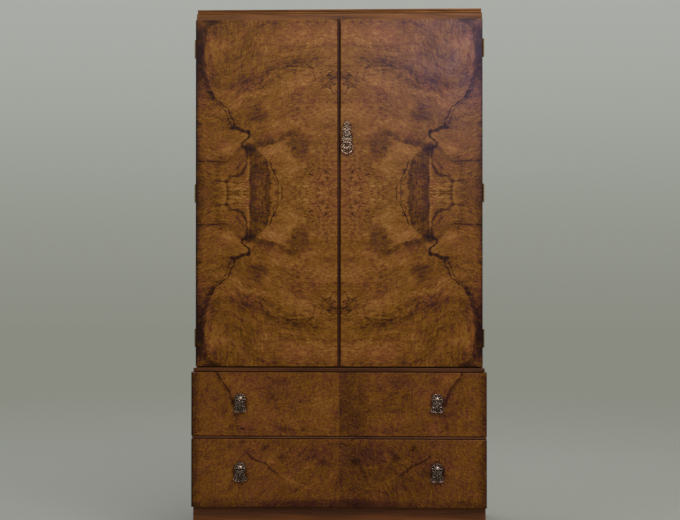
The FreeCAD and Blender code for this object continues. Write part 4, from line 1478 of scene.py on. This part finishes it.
    def lower_drawer_figure(self) -> Figure:
        """The lower drawer: two veins slant down towards its middle.

        Returns:
            The figure.
        """
        veins = (
            Vein(((-6, 157), (8, 174), (21, 190), (34, 216), (50, 235)), 3.6, -0.2, -12, 0.06),
            Vein(((-56, 34), (-40, 76), (-22, 116), (-6, 150)), 4.0, 0.06, 9, -0.05),
            Vein(((-4, 77), (10, 79), (27, 76)), 1.8, -0.26, run=Run.ACROSS),
            Vein(((-4, 71), (12, 70), (25, 73)), 1.6, -0.2, run=Run.ACROSS),
        )
        clouds = patches(
            (190, 64, 14, 12, -0.17), (145, 40, 17, 14, -0.13), (42, 29, 18, 14, -0.16),
            (245, 79, 11, 12, -0.12), (283, 16, 7, 6, -0.14), (293, 20, 6, 6, -0.12),
            (62, 60, 60, 34, -0.06), (170, 30, 18, 10, 0.14), (80, 17, 26, 11, 0.12),
            (120, -26, 56, 16, 0.08, 35), (0, -86, 260, 26, -0.12, 0, 0.4), (300, 10, 50, 60, 0.05),
            (20, -10, 18, 40, 0.05),
        )
        knots = patches((100, 46, 120, 50, 0.5), (110, -40, 80, 34, 0.3), (280, 30, 60, 40, 0.3))
        reds = patches(
            (190, 0, 400, 200, 0.25, 0, 0.9), (80, 50, 90, 40, 0.4), (40, -80, 200, 24, 0.4),
        )
        one_sided = patches(
            (130, 10, 260, 100, -0.09, 0, 0.3), (-300, 10, 90, 60, 0.04), (66, -4, 8, 44, -0.12, 24),
            (52, 36, 24, 5, -0.1, -30),
        )
        return self.figure(
            "lower_drawer_front", mirrored=False, veins=veins, clouds=clouds, knots=knots, reds=reds,
            # Painted shade of the two pulls, with grime.
            one_sided=one_sided, grime=self.grime(3), base=0.435, contrast=0.48, foot=0.14, leaf=0.05,
            drift=((0, 0), (120, 70), (240, 150), (381, 190)),
        )

    def build(self) -> None:
        """Dresses the doors and the drawer fronts."""
        doors = BurrWalnut("burr_walnut_doors", self.door_figure())
        doors.dress("left_door_panel")
        doors.dress("right_door_panel")
        BurrWalnut("burr_walnut_upper_drawer", self.upper_drawer_figure()).dress("upper_drawer_front")
        BurrWalnut("burr_walnut_lower_drawer", self.lower_drawer_figure()).dress("lower_drawer_front")
        LOG.info("veneers: doors and drawer fronts")


@dataclass
class Joinery:
    """Every plain board of the carcass, the drawers and the shelves."""

    ring: float = 12.0

    def walnut(self, name: str, grain: Grain, middle: Colour, spread: float = 1.0, **polish: float) -> Board:
        """Polished straight walnut about one colour.

        Args:
            name: the finish's name.
            grain: which way its fibres run.
            middle: its middle colour.
            spread: how far its grain goes darker and lighter.
            polish: how rough it is, and its gloss, where they aren't the usual ones.

        Returns:
            The finish.
        """
        dark = tuple((1 - 0.7 * spread) * part for part in middle[:3]) + (1.0,)
        light = tuple(min(1.0, (1 + 0.75 * spread) * part) for part in middle[:3]) + (1.0,)
        return Board(name, grain, dark, middle, light, self.ring, **polish)

    def build(self) -> None:
        """Dresses each board in its wood."""
        crown = self.walnut("walnut_crown", Grain.ACROSS, tint(101, 62, 26), gloss=0.08)
        sides = self.walnut("walnut_sides", Grain.UPRIGHT, tint(92, 57, 31))
        waist = self.walnut("walnut_waist", Grain.ACROSS, tint(68, 37, 14), gloss=0.08)
        plinth = self.walnut("walnut_plinth", Grain.ACROSS, tint(95, 52, 19), 0.6, rough=0.45)
        divider = self.walnut("walnut_divider", Grain.ACROSS, tint(88, 52, 31))
        bead = self.walnut("walnut_bead", Grain.UPRIGHT, tint(52, 23, 14), rough=0.3)
        inside = Board("inside_wood", Grain.ACROSS, tint(78, 47, 25), tint(126, 84, 48), tint(164, 120, 76),
                       ring=18.0, rough=0.5)
        coarse = Board("rough_wood", Grain.ACROSS, tint(110, 80, 48), tint(158, 122, 80), tint(190, 156, 112),
                       ring=22.0, rough=0.7)
        ply = Board("back_ply", Grain.UPRIGHT, tint(96, 66, 38), tint(142, 104, 64), tint(172, 134, 90),
                    ring=46.0, rough=0.6)
        oak = Board("drawer_oak", Grain.DEEP, tint(112, 84, 50), tint(160, 126, 82), tint(190, 158, 114),
                    ring=9.0, rough=0.52)
        dressing = {
            crown: ("top_slab", "frieze_board"),
            sides: ("upper_side_left", "upper_side_right", "lower_side_left", "lower_side_right"),
            waist: ("waist_board", "lower_top_rail"),
            divider: ("divider_rail",),
            plinth: ("plinth_front",),
            replace(plinth, name="walnut_plinth_ends", grain=Grain.DEEP): ("plinth_sides",),
            bead: ("meeting_bead",),
            inside: ("upper_bottom", "inner_top", "lower_shelf", "upper_shelf", "lower_bottom"),
            replace(inside, name="inside_wood_deep", grain=Grain.DEEP): (
                "shelf_bearers", "drawer_runners", "drawer_kickers",
            ),
            coarse: ("plinth_back", "plinth_blocks"),
            ply: ("upper_back", "lower_back"),
            oak: ("lower_drawer_sides", "upper_drawer_sides", "lower_drawer_bottom", "upper_drawer_bottom"),
            replace(oak, name="drawer_oak_across", grain=Grain.ACROSS): (
                "lower_drawer_back", "upper_drawer_back",
            ),
        }
        for finish, nodes in dressing.items():
            for node in nodes:
                finish.dress(node)
            LOG.info("%s: %s", finish.name, ", ".join(nodes))


@dataclass
class Fittings:
    """The hinges, lock and slide bolts."""

    def build(self) -> None:
        """Dresses each fitting in its metal."""
        hinge = AgedMetal("hinge_brass", tint(30, 20, 12), tint(62, 45, 27), tint(104, 80, 48), 0.45)
        steel = AgedMetal("lock_steel", tint(26, 25, 24), tint(54, 52, 50), tint(124, 122, 119), 0.6)
        nodes = (
            "hinge_carcass_leaves", "hinge_pins", "hinge_carcass_screws", "left_hinge_leaves",
            "right_hinge_leaves", "left_door_screws", "right_door_screws", "left_bolt_cases", "top_bolt",
            "bottom_bolt", "bolt_keepers", "lock_case", "lock_strike",
        )
        for node in nodes:
            hinge.dress(node)
        steel.dress("lock_bolt")
        LOG.info("fittings: %s and lock_bolt", ", ".join(nodes))


def turned_to(direction: Vector) -> Euler:
    """How a lamp is turned to shine in a direction."""
    return direction.to_track_quat("-Z", "Y").to_euler()


@dataclass(frozen=True)
class SoftLamp:
    """A wide area lamp: where it hangs and what it faces in metres, its size, power and colour.

    One that gives only a sheen shows in polish and metal, and doesn't light what is matt.
    """

    name: str
    place: Triple
    aim: Triple
    size: Point
    power: float
    colour: Colour
    sheen_only: bool = False

    def hang(self) -> None:
        """Hangs the lamp."""
        light = bpy.data.lights.new(self.name, "AREA")
        light.shape = "RECTANGLE"
        light.size, light.size_y = self.size
        light.energy = self.power
        light.color = self.colour[:3]
        holder = shown(self.name, light)
        holder.location = self.place
        holder.rotation_euler = turned_to(Vector(self.aim) - Vector(self.place))
        holder.visible_diffuse = not self.sheen_only


@dataclass(frozen=True)
class SoftSun:
    """A very wide sun, whose light is as strong all over: its direction, strength and spread."""

    name: str
    direction: Triple
    strength: float
    spread: float = 60.0

    def hang(self) -> None:
        """Hangs the sun."""
        light = bpy.data.lights.new(self.name, "SUN")
        light.energy = self.strength
        light.angle = math.radians(self.spread)
        shown(self.name, light).rotation_euler = turned_to(Vector(self.direction))


@dataclass
class Studio:
    """Floor, backdrop, lamps and camera."""

    high_backdrop: Colour = tint(170, 173, 167)
    low_backdrop: Colour = tint(138, 140, 130)
    floor_colour: Colour = tint(132, 134, 125)
    fill_colour: Colour = tint(244, 248, 255)
    fill: float = 0.34
    floor_size: float = 30.0
    camera_back: float = 4000.0
    camera_right: float = 163.9
    camera_height: float = 690.3
    turn: float = 2.29
    tilt: float = 0.408
    focal: float = 82.25
    sensor: float = 36.0
    lamps: tuple = (
        SoftLamp("key", (1.0, -2.6, 3.0), (0.0, -0.2, 1.0), (2.2, 1.2), 84.0, tint(255, 253, 250)),
        SoftLamp("window", (0.58, -6.0, 2.16), (0.3, -0.2, 1.2), (0.5, 0.6), 78.0, tint(214, 198, 255), True),
        SoftLamp("haze", (-0.5, -6.0, 2.9), (0.0, -0.2, 1.3), (3.0, 1.0), 46.0, tint(250, 232, 224), True),
        SoftSun("front", (0.35, 1.0, -0.6), 0.3),
        SoftSun("left", (1.0, 0.35, -0.7), 0.8),
        SoftSun("right", (-1.0, 0.35, -0.7), 0.8),
        SoftSun("back", (0.3, -1.0, -0.8), 1.4),
    )

    def floor(self) -> None:
        """A pale floor."""
        half = self.floor_size / 2
        corners = [(-half, -half, 0), (half, -half, 0), (half, half, 0), (-half, half, 0)]
        mesh = bpy.data.meshes.new("floor")
        mesh.from_pydata(corners, [], [(0, 1, 2, 3)])
        mesh.materials.append(StudioFloor("studio_floor", self.floor_colour, self.low_backdrop).material())
        shown("floor", mesh)

    def air(self) -> None:
        """A pale backdrop for the eye and in reflections, and an even fill for the rest."""
        world = bpy.data.worlds.new("studio")
        bpy.context.scene.world = world
        world.use_nodes = True
        bench = Bench(world.node_tree)
        level = bench.parts_of(bench.node("ShaderNodeTexCoord").outputs["Generated"])[2]
        pale = bench.blend(level.rise(-0.06, 0.19), self.low_backdrop, self.high_backdrop)
        fill, drop = (
            bench.node("ShaderNodeBackground", inputs={"Color": colour, "Strength": strength}).outputs[0]
            for colour, strength in ((self.fill_colour, self.fill), (pale, 1.0))
        )
        mix = bench.node("ShaderNodeMixShader", inputs={0: bench.eye_rays(), 1: fill, 2: drop})
        bench.node("ShaderNodeOutputWorld", inputs={"Surface": mix.outputs[0]})

    def camera(self) -> None:
        """The camera, where the photograph was taken from."""
        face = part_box("upper_drawer_front")[0].y
        lens = bpy.data.cameras.new("camera")
        lens.sensor_width = self.sensor
        lens.lens = self.focal
        eye = shown("camera", lens)
        eye.location = (self.camera_right * MM, face - self.camera_back * MM, self.camera_height * MM)
        eye.rotation_euler = (math.radians(90 + self.tilt), 0.0, math.radians(self.turn))
        bpy.context.scene.camera = eye

    def build(self) -> None:
        """Sets up the studio."""
        self.floor()
        self.air()
        for lamp in self.lamps:
            lamp.hang()
        self.camera()
        bpy.context.scene.view_settings.view_transform = "Standard"
        LOG.info("studio: floor, backdrop, %d lamps and camera", len(self.lamps))


def main() -> None:
    """Builds every part of the scene in order."""
    logging.basicConfig(level=logging.INFO, format="%(message)s")
    aged = CastBrass("aged_brass", tint(12, 7, 5), tint(44, 31, 24), tint(196, 168, 134), 0.3, 0.4)
    rubbed = CastBrass("rubbed_brass", tint(16, 10, 6), tint(72, 54, 40), tint(232, 204, 162), 0.4, 0.2)
    Joinery().build()
    Veneers().build()
    Fittings().build()
    knob = CastBrass("knob_brass", tint(34, 25, 21), tint(146, 127, 112), tint(244, 234, 220), 0.2, 0.8)
    DrawerPulls(aged, knob).build()
    DoorPull(rubbed, knob).build()
    Studio().build()


if __name__ == "__main__":
    main()
